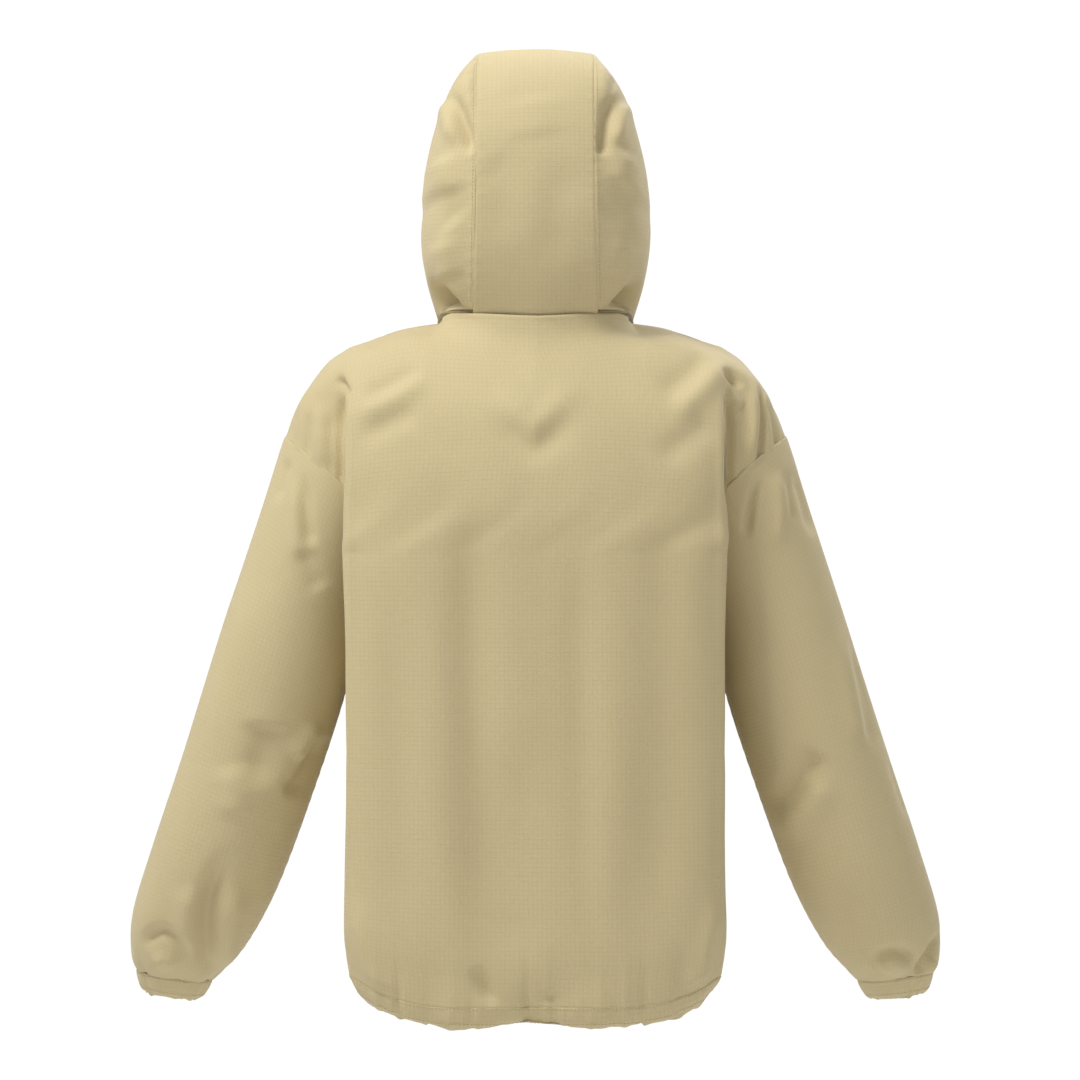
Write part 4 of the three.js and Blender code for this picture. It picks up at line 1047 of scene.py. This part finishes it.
sleeves, sleeve_objects, cuffs = {}, {}, {}
for side, sign in (("left", 1), ("right", -1)):
    place = (lambda s: s) if sign > 0 else mirrored
    other = "right" if side == "left" else "left"
    edges = ("left", "right", "top")
    sleeve = Cloth(place(sleeve_surface), flip=sign > 0, closed=True, sewn=edges, step=2.5)
    turn = sleeve.along / sleeve.width
    if sign > 0:
        turn = 1 - turn
    to_cuff = sleeve.height - sleeve.up
    ahead = [([(-x, z) for x, z in line], wide, high * 0.8) for line, wide, high in SLEEVE_FOLDS[other]]
    ends = smoothstep(sleeve.up / 9) * smoothstep(to_cuff / 8)
    cuff_folds = ring_gathers(turn, 41 + sign, 13, 3.2, 0.022)
    sleeve.move(
        (folds(sleeve, SLEEVE_FOLDS[side]) + folds(sleeve, ahead, facing=-1)) * ends
        + soft_waves(sleeve, 17 + sign, 0.8, 80)
        + cuff_folds * np.exp(-((to_cuff / 20) ** 1.5))
    )
    sleeve.turn_in(1.2)
    made = build(f"sleeve_cloth_{side}", sleeve, SHELL)
    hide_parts(f"sleeve_{side}")
    sleeves[side], sleeve_objects[side] = sleeve, made

    cuff = Cloth(place(cuff_surface), flip=sign > 0, closed=True, step=1.7)
    turn = cuff.along / cuff.width
    if sign > 0:
        turn = 1 - turn
    outside = np.where(cuff.up < CUFF_TURN, 1, -1)
    fine = ring_gathers(turn, 61 + sign, 34, 1.3, 0.010) * smoothstep(cuff.up / 6)
    puff = 0.8 * np.sin(np.clip((cuff.up - 3) / 20, 0, 1) * math.pi)
    fine = np.maximum(fine, -0.5)
    cuff.move((ring_gathers(turn, 41 + sign, 13, 3.2, 0.022) + fine + puff) * outside)
    made = build(f"cuff_cloth_{side}", cuff, SHELL, CASING_CLOTH)
    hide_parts(f"cuff_casing_{side}")
    band = Cloth(place(cuff_strap_surface), flip=sign > 0, closed=True, step=1.4)
    turn = band.along / band.width
    if sign > 0:
        turn = 1 - turn
    band.move(ring_gathers(turn, 41 + sign, 13, 3.2, 0.022) * 0.8)
    band.move(0.3 * np.sin(band.up / 0.5) + 0.25 * np.cos(band.along / band.width * 2 * math.pi * 60))
    elastic = build(f"cuff_elastic_band_{side}", band, ELASTIC, 1.0, 0)
    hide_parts(f"cuff_elastic_{side}")
    cuffs[side] = (cuff, made, band, elastic)

# ---------------------------------------------------------------- hood
CROWN = [
    tuple(body_neck(180)[0]), (0, 92, 36), (0, 101, 85), (0, 101, 135),
    (0, 93, 185), (0, 73, 228), (0, 38, 257),
    (0, -8, 270), (0, -58, 268), (0, -105, 252),
]
CROWN_SAG = 5.0
NECK_FIT_REACH = 0.16


def hood_middle(u, v):
    """The middle panel, u from the right seam to the left one and v from the neck to the forehead."""
    u, v = np.asarray(u, float), np.asarray(v, float)
    spine = catmull(CROWN, v)
    e = 1e-3
    run = unit(catmull(CROWN, np.minimum(v + e, 1)) - catmull(CROWN, np.maximum(v - e, 0)))
    side = 2 * u - 1
    half = HOOD_SEAM_HALF + HOOD_SEAM_FLARE * (2 * v - 1) ** 2
    out = np.stack([0 * v, run[:, 2], -run[:, 1]], axis=-1)
    grid = spine[:, None] - CROWN_SAG * (side**2)[None, :, None] * out[:, None]
    grid[..., 0] = half[:, None] * side[None]
    start = body_neck(180)[0] - CROWN_SAG * (side**2)[:, None] * out_at_neck()
    start[:, 0] = (HOOD_SEAM_HALF + HOOD_SEAM_FLARE) * side
    seated = body_neck(180 - (180 - NECK_BACK_SEAM) * np.abs(side)) * np.stack(
        [np.sign(side + 1e-12), np.ones_like(side), np.ones_like(side)], axis=-1
    )
    ease = np.clip(1 - v / NECK_FIT_REACH, 0, 1) ** 2
    return grid + (seated - start)[None] * ease[:, None, None]


def out_at_neck():
    run = unit(catmull(CROWN, np.array([1e-3])) - catmull(CROWN, np.array([0.0])))[0]
    return np.array([0, run[2], -run[1]])


def rear_seam(v):
    return hood_middle(np.ones(1), np.atleast_1d(v))[:, 0]


def seam_point(v):
    return tuple(rear_seam(v)[0])


def beside(x, y, z):
    return (HOOD_SEAM_HALF + x, y, z)


FACE_CORNER = 38.0
FACE_EDGE = [
    tuple(hood_neck(FACE_CORNER)[0]), beside(23.5, -86, 2), beside(34.5, -105, 50), beside(36.5, -116, 108),
    beside(29.5, -119, 162), beside(17.5, -118, 210), seam_point(1.0),
]
TOP_START = 6 / 9
SEAM_SHARES = [0.12, 2 / 9, 3.2 / 9, 4.3 / 9, 5.3 / 9]
SIDE_START = 0.028
side_rows = [
    through([tuple(hood_neck(t)[0]) for t in (NECK_BACK_SEAM, 115, 90, 64, FACE_CORNER)]),
    through([seam_point(SEAM_SHARES[0]), beside(31.5, 62, 40), beside(50.5, 20, 42),
        beside(46.5, -40, 26), FACE_EDGE[1]]),
    through([seam_point(SEAM_SHARES[1]), beside(36.5, 74, 88), beside(56, 22, 88),
        beside(52.5, -45, 72), FACE_EDGE[2]]),
    through([seam_point(SEAM_SHARES[2]), beside(33.5, 74, 146), beside(52, 22, 144),
        beside(50.5, -48, 130), FACE_EDGE[3]]),
    through([seam_point(SEAM_SHARES[3]), beside(25.5, 66, 196), beside(40.5, 20, 193),
        beside(41.5, -50, 182), FACE_EDGE[4]]),
    through([seam_point(SEAM_SHARES[4]), beside(14.5, 52, 236), beside(24.5, 12, 232),
        beside(25.5, -52, 224), FACE_EDGE[5]]),
    lambda u: rear_seam(TOP_START + (1 - TOP_START) * u),
]


def side_rear(v):
    """The rear seam as the side panel follows it, by the panel's own v."""
    shares = [SIDE_START, *SEAM_SHARES, TOP_START]
    return rear_seam(np.interp(np.clip(v, 0, 1) * (len(shares) - 1), range(len(shares)), shares))


left_hood = pinned(loft(side_rows), side_rear)
HOOD_FOLDS = {
    "left": [
        ([(84, 222), (75, 196), (65, 170), (61, 150)], 6.5, -6.0),
        ([(92, 216), (86, 190), (80, 160)], 7, 3.6),
        ([(108, 122), (94, 100), (78, 80)], 19, -3.4),
        ([(92, 156), (86, 134), (80, 112)], 15, 3.0),
        ([(94, 74), (88, 52), (82, 30)], 13, 3.0),
        ([(66, 236), (64, 215), (62, 190)], 6, 1.6),
    ],
    "right": [
        ([(-82, 220), (-72, 194), (-65, 166), (-61, 148)], 7.5, -6.0),
        ([(-90, 214), (-84, 188), (-78, 160)], 7, 3.4),
        ([(-104, 122), (-86, 101), (-70, 82)], 18, -3.6),
        ([(-92, 160), (-84, 138), (-78, 122)], 13, 2.6),
        ([(-90, 74), (-80, 52), (-76, 34)], 13, 3.0),
        ([(-78, 236), (-76, 226), (-75, 214)], 2.5, -1.5),
    ],
    "middle": [
        ([(50, 150), (30, 120), (34, 60)], 20, -1.6),
        ([(-46, 150), (-20, 100), (-30, 40)], 22, -1.6),
        ([(4, 215), (0, 190), (-4, 165)], 26, 1.6),
    ],
}
hood = Cloth(hood_middle, flip=True, sewn=("left", "right"))
hood.move(folds(hood, HOOD_FOLDS["middle"]) + soft_waves(hood, 31, 0.5))
tucked = 4.0 * np.exp(-((hood.up / 7) ** 2))  # its lower edge goes down behind the lip of the neckline
hood.move(-tucked)
hood.turn_in()
hood_centre = build("hood_middle_cloth", hood, SHELL)
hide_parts("hood_centre_panel")
HOLLOW_DEPTH = 24.0  # of the deep fold above the neck, behind each ear
hood_sides, hood_side_objects = {}, {}
for side, sign in (("left", 1), ("right", -1)):
    surface = left_hood if sign > 0 else mirrored(left_hood)
    edges = ("right", "bottom", "top") if sign > 0 else ("left", "bottom", "top")
    panel = Cloth(surface, flip=sign > 0, sewn=edges, step=2.6)
    from_rear = panel.width - panel.along if sign > 0 else panel.along
    free = smoothstep(from_rear / 8) * smoothstep((panel.width - from_rear) / 14)
    ahead = [
        ([(sign * 96, 190), (sign * 100, 150), (sign * 96, 110)], 14, -3.0),
        ([(sign * 92, 100), (sign * 99, 70), (sign * 94, 36)], 12, 3.0),
    ]
    y, z = panel.points[..., 1], panel.points[..., 2]
    hollow = -HOLLOW_DEPTH * np.exp(-(((y - 36) / 17) ** 2) - ((z - 10) / 16) ** 2)
    edge = 4.0 * np.exp(-(((y - 62) / 10) ** 2) - ((z - 16) / 24) ** 2)
    panel.move((hollow + edge) * smoothstep(panel.up / 6) * smoothstep((from_rear - 3) / 16))
    panel.move(
        (folds(panel, HOOD_FOLDS[side], threshold=-0.25) + folds(panel, ahead, facing=-1)) * free
        + soft_waves(panel, 37 + sign, 0.7)
    )
    panel.turn_in()
    hood_sides[side] = panel
    hood_side_objects[side] = build(f"hood_side_cloth_{side}", panel, SHELL)
    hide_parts(f"hood_side_panel_{side}")

# ---------------------------------------------------------------- veil, binding, chin panel and hoop
BINDING_WIDTH = 9.0
BINDING_FORWARD = np.array([-0.42, -0.9, 0]) * BINDING_WIDTH
edge_out = through([np.array(p) + BINDING_FORWARD * 0.15 for p in FACE_EDGE])
edge_in = through([np.array(p) + BINDING_FORWARD for p in FACE_EDGE])
CHIN_SHARE = 0.17
left_binding = loft([lambda u: edge_out(0.995 * u), lambda u: edge_in(0.995 * u)])
bindings = {}
for side, sign in (("left", 1), ("right", -1)):
    surface = within(left_binding, 0.01, 1.0, 0, 1)
    strip = Cloth(surface if sign > 0 else mirrored(surface), flip=sign > 0, sewn=("bottom", "top"), step=1.6)
    strip.move(0.7 * np.sin(np.clip(strip.up / strip.height, 0, 1) * math.pi))
    strip.turn_in(0.8, 1.2)
    bindings[side] = build(f"veil_binding_tape_{side}", strip, BINDING, 1.6)
    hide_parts(f"veil_binding_{side}")


def brow(distance, drop):
    return lambda u: hood_middle(u, np.ones(1))[0] + np.array([0, -distance, -drop])


brow_strip = Cloth(loft([brow(0.6, 0.2), brow(BINDING_WIDTH, 2.5)]),
    flip=True, sewn=("bottom", "top"), step=1.6)
brow_strip.move(0.7 * np.sin(np.clip(brow_strip.up / brow_strip.height, 0, 1) * math.pi))
bindings["brow"] = build("veil_binding_tape_brow", brow_strip, BINDING, 1.6)
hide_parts("veil_binding_brow")


def face_row(share, middle):
    """A row across the face, from the left edge to the right one, with its middle at a given place."""
    edge = edge_in(np.array([share]))[0] + np.array([-0.4, 0.4, 0])
    middle = np.array(middle, float)
    cheek = edge + (middle - edge) * 0.45 + np.array([12, -16, 0])
    flip = np.array([-1, 1, 1])
    return through([edge, cheek, middle, cheek * flip, edge * flip])


chin_row = face_row(CHIN_SHARE, (0, -124, -16))
veil_surface = loft([
    chin_row,
    face_row(0.34, (0, -158, 45)),
    face_row(0.5, (0, -172, 105)),
    face_row(0.67, (0, -168, 164)),
    face_row(0.84, (0, -148, 220)),
    lambda u: hood_middle(1 - u, np.ones(1))[0] * (0.97, 1, 1) + np.array([0, -BINDING_WIDTH - 0.6, -2.6]),
])
VEIL_PITCH, VEIL_THREAD = 3.0, 0.62
veil = Cloth(veil_surface, flip=True, step=VEIL_PITCH)
veil_object = build("veil_net", veil, VEIL, 0)
net = veil_object.modifiers.new("net", "WIREFRAME")
net.thickness = VEIL_THREAD * MM
net.use_even_offset = False
net.offset = 0
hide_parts("veil_mesh")

CHIN_CORNER = FACE_CORNER - 0.5


def chin_bottom(u):
    return hood_neck((1 - 2 * u) * CHIN_CORNER)


def chin_middle(u):
    return (chin_row(u) + chin_bottom(u)) / 2 + np.array([0, -3, 0])


chin = Cloth(loft([chin_bottom, chin_middle, chin_row]), flip=True, sewn=("bottom", "top"), step=2.4)
chin.move(soft_waves(chin, 43, 0.8, 40))
chin.turn_in()
chin_panel = build("chin_cloth", chin, SHELL)
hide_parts("hood_chin_panel")


def swept(name, line, radius, look, sides=12):
    """A round bar along a line, with rounded ends."""
    way = unit(np.gradient(line, axis=0))
    side = unit(np.cross(way, np.array([0.31, 0.2, 0.93])))
    other = np.cross(way, side)
    count = len(line)
    size = radius * np.ones(count)
    size[[0, -1]] = radius * 0.3
    size[[1, -2]] = radius * 0.8
    turn = np.linspace(0, 2 * math.pi, sides + 1)[:-1]
    rings = line[:, None] + size[:, None, None] * (
        side[:, None] * np.cos(turn)[None, :, None] + other[:, None] * np.sin(turn)[None, :, None]
    )
    faces = []
    for i in range(count - 1):
        for k in range(sides):
            n = (k + 1) % sides
            faces.append((i * sides + k, (i + 1) * sides + k, (i + 1) * sides + n, i * sides + n))
    faces.append(tuple(range(sides)))
    faces.append(tuple(reversed(range((count - 1) * sides, count * sides))))
    return new_object(name, rings.reshape(-1, 3), faces, look)


HOOP_INSET = np.array([-7.0, 3, -2])
hoop_side = [np.array(FACE_EDGE[k]) + HOOP_INSET for k in (2, 3, 4, 5)]
hoop_top = hood_middle(np.array([0.86]), np.ones(1))[0, 0] + np.array([0, 2, -9])
hoop_knots = [*hoop_side, hoop_top, np.array([0, hoop_top[1], hoop_top[2] + 3])]
hoop_knots += [p * (-1, 1, 1) for p in (hoop_top, *reversed(hoop_side))]
hoop = swept("veil_spring_hoop", catmull(hoop_knots, np.linspace(0, 1, 160)), 1.5, BONING)
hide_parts("veil_hoop")


# ---------------------------------------------------------------- stamped small pieces: teeth and stitches
def stamp(name, shape, faces, origins, x_axes, y_axes, z_axes, look):
    """Many copies of one small shape as one mesh, each in its own axes."""
    points = (
        origins[:, None]
        + shape[None, :, 0:1] * x_axes[:, None]
        + shape[None, :, 1:2] * y_axes[:, None]
        + shape[None, :, 2:3] * z_axes[:, None]
    )
    count = len(shape)
    every = [tuple(i * count + k for k in f) for i in range(len(origins)) for f in faces]
    return new_object(name, points.reshape(-1, 3), every, look)


def tooth_shape(thick):
    """A moulded zip tooth: a head at the middle of the zip, a neck, and a foot on the tape."""
    outline = [(-0.5, 0.35), (-0.1, 0.72), (0.55, 0.8), (0.95, 0.42), (1.7, 0.42), (2.5, 0.62), (2.9, 0.5)]
    outline += [(x, -y) for x, y in reversed(outline)]
    count = len(outline)
    layers = [(-thick / 2, 0.8), (-thick / 2 + 0.3, 1.0), (thick / 2 - 0.3, 1.0), (thick / 2, 0.8)]
    points = [(x * s if x > 0 else x, h, y * s) for h, s in layers for x, y in outline]
    faces = [tuple(range(count)), tuple(reversed(range(3 * count, 4 * count)))]
    for layer in range(3):
        for k in range(count):
            a, b = layer * count + k, layer * count + (k + 1) % count
            faces.append((a, a + count, b + count, b))
    return np.array(points), faces


TOOTH_PITCH = 2.6
TOOTH, TOOTH_FACES = tooth_shape(2.3)


def teeth(name, line, outwards, facing, shift, look=TEETH):
    """Teeth along a line: outwards is the way to the tape, facing the way that the zip faces."""
    run = run_of(line)
    places = np.arange(TOOTH_PITCH * (0.5 + shift), run[-1] - 0.5, TOOTH_PITCH)
    way = unit(at_run(np.gradient(line, axis=0), run, places))
    return stamp(
        name, TOOTH, TOOTH_FACES, at_run(line, run, places), unit(at_run(outwards, run, places)),
        unit(at_run(facing, run, places)), way, look,
    )


def stitch_shape(length, radius):
    """One stitch: a low arch of thread that dips into the cloth at both ends."""
    sides = 6
    points = []
    for share, size, high in ((0, 0.35, -0.5), (0.14, 0.9, 0.1),
        (0.5, 1.0, 0.45), (0.86, 0.9, 0.1), (1, 0.35, -0.5)):
        for k in range(sides):
            a = 2 * math.pi * k / sides
            x, y = radius * size * math.cos(a), radius * (high + size * math.sin(a))
            points.append((x, y, length * (share - 0.5)))
    faces = [tuple(reversed(range(sides))), tuple(range(4 * sides, 5 * sides))]
    for ring in range(4):
        for k in range(sides):
            a, b = ring * sides + k, ring * sides + (k + 1) % sides
            faces.append((a, b, b + sides, a + sides))
    return np.array(points), faces


STITCH_LENGTH, STITCH_GAP = 2.7, 1.0


def stitches(name, lines, radius=0.3):
    """Rows of stitches along lines, each a pair of points and normals."""
    shape, faces = stitch_shape(STITCH_LENGTH, radius)
    draw = np.random.default_rng(5)
    parts = [[], [], [], []]
    for points, normals in lines:
        run = run_of(points)
        places = np.arange(STITCH_LENGTH, run[-1] - STITCH_LENGTH, STITCH_LENGTH + STITCH_GAP)
        if not len(places):
            continue
        places = places + draw.uniform(-0.12, 0.12, len(places))
        way = unit(at_run(np.gradient(points, axis=0), run, places))
        up = unit(at_run(normals, run, places))
        across = unit(np.cross(up, way))
        for part, value in zip(parts, (at_run(points, run, places), across, np.cross(way, across), way)):
            part.append(value)
    return stamp(name, shape, faces, *[np.concatenate(part) for part in parts], THREAD)


def beside_edge(cloth, edge, inset, skip=0.0):
    """A line on the cloth at a distance from one of its edges, with the normals along it."""
    rows, columns = cloth.along.shape
    points, normals = [], []
    if edge in ("left", "right"):
        for i in range(rows):
            run = cloth.along[i]
            place = inset if edge == "left" else run[-1] - inset
            points.append(at_run(cloth.points[i], run, [place])[0])
            normals.append(at_run(cloth.normals[i], run, [place])[0])
    else:
        for k in range(columns):
            run = cloth.up[:, k]
            place = inset if edge == "bottom" else run[-1] - inset
            points.append(at_run(cloth.points[:, k], run, [place])[0])
            normals.append(at_run(cloth.normals[:, k], run, [place])[0])
    points, normals = np.array(points), np.array(normals)
    if skip:
        run = run_of(points)
        kept = (run > skip) & (run < run[-1] - skip)
        points, normals = points[kept], normals[kept]
    return points, normals


# ---------------------------------------------------------------- front zip
ZIP_DOWN = np.array([0, -math.sin(ZIP_ANGLE), -math.cos(ZIP_ANGLE)])
ZIP_FACE = np.array([0, -math.cos(ZIP_ANGLE), math.sin(ZIP_ANGLE)])
ZIP_END, STOP_LENGTH, BOX_LENGTH, CHAIN_OUTER = 4.0, 3.6, 8.0, 2.6
RIGHT = np.array([1.0, 0, 0])
chain_line = ZIP_TOP + ZIP_DOWN * np.linspace(ZIP_END + STOP_LENGTH + 1, ZIP_LENGTH - BOX_LENGTH - 0.5,
    160)[:, None]
same = np.ones((len(chain_line), 1))
for side, sign in (("left", 1), ("right", -1)):
    chain = teeth(
        f"front_zip_teeth_{side}", chain_line, same * RIGHT * sign, same * ZIP_FACE, 0.0 if sign > 0 else 0.5
    )
    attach(chain, "jacket")
    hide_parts(f"front_zip_chain_{side}")

    def tape_row(near, s=sign):
        reach = ZIP_LENGTH - ZIP_END
        return lambda u: ZIP_TOP + ZIP_DOWN * (ZIP_END + reach * u)[:, None] + RIGHT * s * near

    tape = Cloth(loft([tape_row(CHAIN_OUTER - 0.6), tape_row(ZIP_HALF_TAPE + 2.2)]), flip=sign > 0, step=1.4)
    if tape.normals[0, 0, 1] > 0:
        tape.points = tape.points[:, ::-1]
        tape.measure()
    tape.move(-0.6 * smoothstep((tape.up - 7.5) / 3) + 0.12 * np.sin(tape.along / 1.1))
    made = build(f"front_zip_tape_cloth_{side}", tape, TAPE, 0.7, 0)
    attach(made, "jacket")
    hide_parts(f"front_zip_tape_{side}")

guard_rows = [
    (lambda u, x=x, dip=dip: ZIP_TOP + ZIP_DOWN * (22 + (ZIP_LENGTH - 52) * u)[:, None] + RIGHT * x
     - ZIP_FACE * (5.6 + dip))
    for x, dip in ((-20, 0.4), (-10, 0), (0, 0.2), (10, 0), (20, 0.4))
]
guard = Cloth(loft(guard_rows), sewn=("left", "right"), step=2.4)
guard.move(soft_waves(guard, 51, 0.35, 60))
guard_object = build("zip_guard_cloth", guard, LINING, 1.2, 0)
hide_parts("zip_guard")

# ---------------------------------------------------------------- neck zip
NECK_TURNS = np.linspace(-(NECK_BACK_SEAM - 1), NECK_BACK_SEAM - 1, 361)


def outwards_at(turn):
    """The way that the neck zip faces, square to its run and to the way the band stands."""
    line = neck(turn)
    way = unit(np.gradient(line, axis=0))
    return unit(np.cross(way, band_direction(turn)))


neck_line, neck_face, neck_up = neck(NECK_TURNS), outwards_at(NECK_TURNS), band_direction(NECK_TURNS)
for level, sign, body in (("lower", -1, "jacket"), ("upper", 1, "hood")):
    chain = teeth(
        f"neck_zip_teeth_{level}", neck_line, neck_up * sign, neck_face, 0.0 if sign > 0 else 0.5
    )
    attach(chain, body)
    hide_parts(f"neck_zip_chain_{level}")

    def neck_row_at(share, s=sign):
        def at(u):
            turn = (2 * u - 1) * (NECK_BACK_SEAM + 2.5)
            return neck(turn, s * (CHAIN_OUTER - 0.6 + (band_half(turn) + 4.2 - CHAIN_OUTER) * share))

        return at

    tape = Cloth(loft([neck_row_at(0), neck_row_at(0.5), neck_row_at(1)]), flip=sign < 0, step=1.4)
    tape.move(0.1 * np.sin(tape.along / 1.1) - 1.7 * smoothstep((tape.up / tape.height - 0.35) / 0.35))
    made = build(f"neck_zip_tape_cloth_{level}", tape, TAPE, 0.7, 0)
    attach(made, body)
    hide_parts(f"neck_zip_tape_{level}")

for node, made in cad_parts.items():
    if any(word in node for word in ("slider", "pull", "top_stop", "zip_box")):
        made.data.materials.clear()
        made.data.materials.append(METAL if "slider" in node or "pull" in node else TEETH)
        bevel = made.modifiers.new("rounded", "BEVEL")
        bevel.width, bevel.segments, bevel.limit_method = 0.00025, 2, "ANGLE"
        bevel.angle_limit = math.radians(40)


# ---------------------------------------------------------------- pockets, neck tape and hanger loop
def lay(cloth, across, up, lift, sign):
    """A patch on a front, by its distances in mm from the zip's edge and from the hem, raised by lift."""
    middle = cloth.up[:, cloth.up.shape[1] * 3 // 4 if sign < 0 else cloth.up.shape[1] // 4]
    grid, out = [], []
    for height in up:
        row = int(np.clip(np.searchsorted(middle, height) - 1, 0, len(middle) - 2))
        t = (height - middle[row]) / (middle[row + 1] - middle[row])
        points = cloth.points[row] * (1 - t) + cloth.points[row + 1] * t
        normals = cloth.normals[row] * (1 - t) + cloth.normals[row + 1] * t
        run = run_of(points)
        places = across if sign > 0 else run[-1] - across
        grid.append(at_run(points, run, places))
        out.append(unit(at_run(normals, run, places)))
    return np.array(grid) + np.array(out) * lift[..., None]


class Patch(Cloth):
    """Cloth laid on another cloth, given straight away as a grid."""

    def __init__(self, points, sewn=()):
        self.points, self.sewn, self.closed = points, sewn, False
        self.measure()
        self.flat = (float(self.width.max()), float(self.height.max()))
        self.area = self.surface_area()


def pocket_grid(front, sign, from_zip, width, from_hem, height, lift, bulge, step=1.6):
    """A patch pocket, pressed to the front round its edges and standing free in the middle and at the top."""
    across = np.linspace(0, 1, round(width / step) + 1)
    up = np.linspace(0, 1, round(height / step) + 1)
    if sign < 0:
        across = across[::-1]
    middle = np.sin(np.clip(across, 0, 1) * math.pi)[None, :] ** 0.7
    rise = np.sin(np.clip(up * 0.62, 0, 1) * math.pi)[:, None] ** 0.8
    stand = lift + bulge * middle * rise
    return lay(front, from_zip + across * width, from_hem + up * height, stand, sign)


def add_pocket(name, node, side, sign, **place):
    front = fronts[side]
    grid = pocket_grid(front, sign, **place)
    patch = Patch(grid, sewn=("left", "right", "bottom"))
    if patch.normals[0, 0, 1] > 0:
        patch = Patch(grid[:, ::-1], sewn=("left", "right", "bottom"))
    patch.move(soft_waves(patch, 71, 0.35, 50))
    patch.turn_in(0.8, 1.6)
    made = build(name, patch, SHELL, 0.9)
    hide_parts(node)
    return patch, made


CHEST = {"from_zip": 62, "width": 76, "from_hem": 307, "height": 109, "lift": 1.7, "bulge": 2.0}
FLAP = {"from_zip": 61, "width": 78, "from_hem": 399, "height": 28, "lift": 4.3, "bulge": 0.5}
SIDE = {"from_zip": 60, "width": 112, "from_hem": 25, "height": 140, "lift": 1.7, "bulge": 3.0}
pockets = {
    "chest": add_pocket("chest_pocket_cloth", "chest_pocket", "left", 1, **CHEST),
    "flap": add_pocket("chest_flap_cloth", "chest_pocket_flap", "left", 1, **FLAP),
    "side_left": add_pocket("side_pocket_cloth_left", "side_pocket_left", "left", 1, **SIDE),
    "side_right": add_pocket("side_pocket_cloth_right", "side_pocket_right", "right", -1, **SIDE),
}

rows = len(back.points)
tape_rows = range(rows - 14, rows - 3)
tape_columns = np.nonzero(np.abs(back.points[rows - 8, :, 0]) < 84)[0]
inside = back.points[np.ix_(tape_rows, tape_columns)] - 4.4 * back.normals[np.ix_(tape_rows, tape_columns)]
neck_tape = Patch(inside, sewn=("bottom", "top"))
neck_tape.turn_in(0.5, 1.2)
neck_tape_object = build("back_neck_tape", neck_tape, BINDING, 1.0)
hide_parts("neck_tape")

LOOP_AT = body_neck(180)[0] + np.array([0, -12, -14])
loop_knots = [(-21.3, 0, 4), (-21.3, 0, -6), (-19.5, 0, -11), (-14, 0, -12.3), (0, 0, -12.8), (14, 0, -12.3)]
loop_knots += [(19.5, 0, -11), (21.3, 0, -6), (21.3, 0, 4)]
loop_path = catmull([LOOP_AT + np.array(k) for k in loop_knots], np.linspace(0, 1, 90))
loop_grid = loop_path[None] + np.array([0, 1, 0]) * np.linspace(-3, 3, 9)[:, None, None]
loop_cloth = Patch(loop_grid)
loop_object = build("hanger_loop_tape", loop_cloth, TAPE, 1.3, 0)
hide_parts("hanger_loop")


# ---------------------------------------------------------------- stitching
def joined_lines(cloth, edges, insets, skip=3.0):
    return [beside_edge(cloth, edge, inset, skip) for edge in edges for inset in insets]


def casing_line(cloth, height):
    """A stitch line round a casing, at a height above its lower edge."""
    return beside_edge(cloth, "bottom", height)


jacket_lines = [casing_line(casing, 3.0), casing_line(casing, 19.0)]
for side, sign in (("left", 1), ("right", -1)):
    front = fronts[side]
    zip_edge = "left" if sign > 0 else "right"
    jacket_lines += joined_lines(front, [zip_edge], [2.6, 8.0], 6)
    jacket_lines += joined_lines(front, ["top"], [4.0], 8)
for key in ("chest", "side_left", "side_right"):
    patch = pockets[key][0]
    jacket_lines += joined_lines(patch, ["left", "right", "bottom"], [2.2, 6.6], 2.2)
    jacket_lines += joined_lines(patch, ["top"], [14.0], 1)
jacket_lines += joined_lines(neck_tape, ["bottom", "top"], [1.6], 2)
jacket_stitches = stitches("jacket_stitching", jacket_lines)

flap_patch = pockets["flap"][0]
flap_stitches = stitches("flap_stitching", joined_lines(flap_patch, ["left", "right", "bottom"], [2.2], 2.2)
                         + joined_lines(flap_patch, ["top"], [2.0], 2.2))

hood_lines = []
for side, sign in (("left", 1), ("right", -1)):
    panel = hood_sides[side]
    rear = "right" if sign > 0 else "left"
    face = "left" if sign > 0 else "right"
    hood_lines += joined_lines(panel, [rear], [3.4], 6) + joined_lines(panel, [face], [3.0], 6)
    hood_lines += joined_lines(panel, ["bottom"], [4.0], 6)
hood_lines += joined_lines(chin, ["bottom", "top"], [3.0], 3)
hood_stitches = stitches("hood_stitching", hood_lines)

sleeve_stitches, cuff_stitches = {}, {}
for side in ("left", "right"):
    sleeve_stitches[side] = stitches(f"sleeve_stitching_{side}",
        joined_lines(sleeves[side], ["bottom"], [4.0], 0))
    cuff = cuffs[side][0]
    cuff_stitches[side] = stitches(f"cuff_stitching_{side}",
        [casing_line(cuff, 2.6), casing_line(cuff, 18.0)])

# ---------------------------------------------------------------- what each piece rides on
SHELL_PIECES = [back_panel, *front_panels.values(), hem_casing]
for made in (*SHELL_PIECES, hem_elastic, guard_object, neck_tape_object, loop_object, jacket_stitches):
    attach(made, "jacket")
for key in ("chest", "side_left", "side_right"):
    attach(pockets[key][1], "jacket")
for made in (pockets["flap"][1], flap_stitches):
    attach(made, "pocket_flap")
for made in (*hood_side_objects.values(), *bindings.values(), veil_object, chin_panel, hoop, hood_stitches):
    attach(made, "hood")
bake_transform(hood_centre)

for side, sign in (("left", 1), ("right", -1)):
    for made in (sleeve_objects[side], sleeve_stitches[side]):
        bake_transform(made)
    for made in (cuffs[side][1], cuffs[side][3], cuff_stitches[side]):
        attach(made, f"arm_{side}")
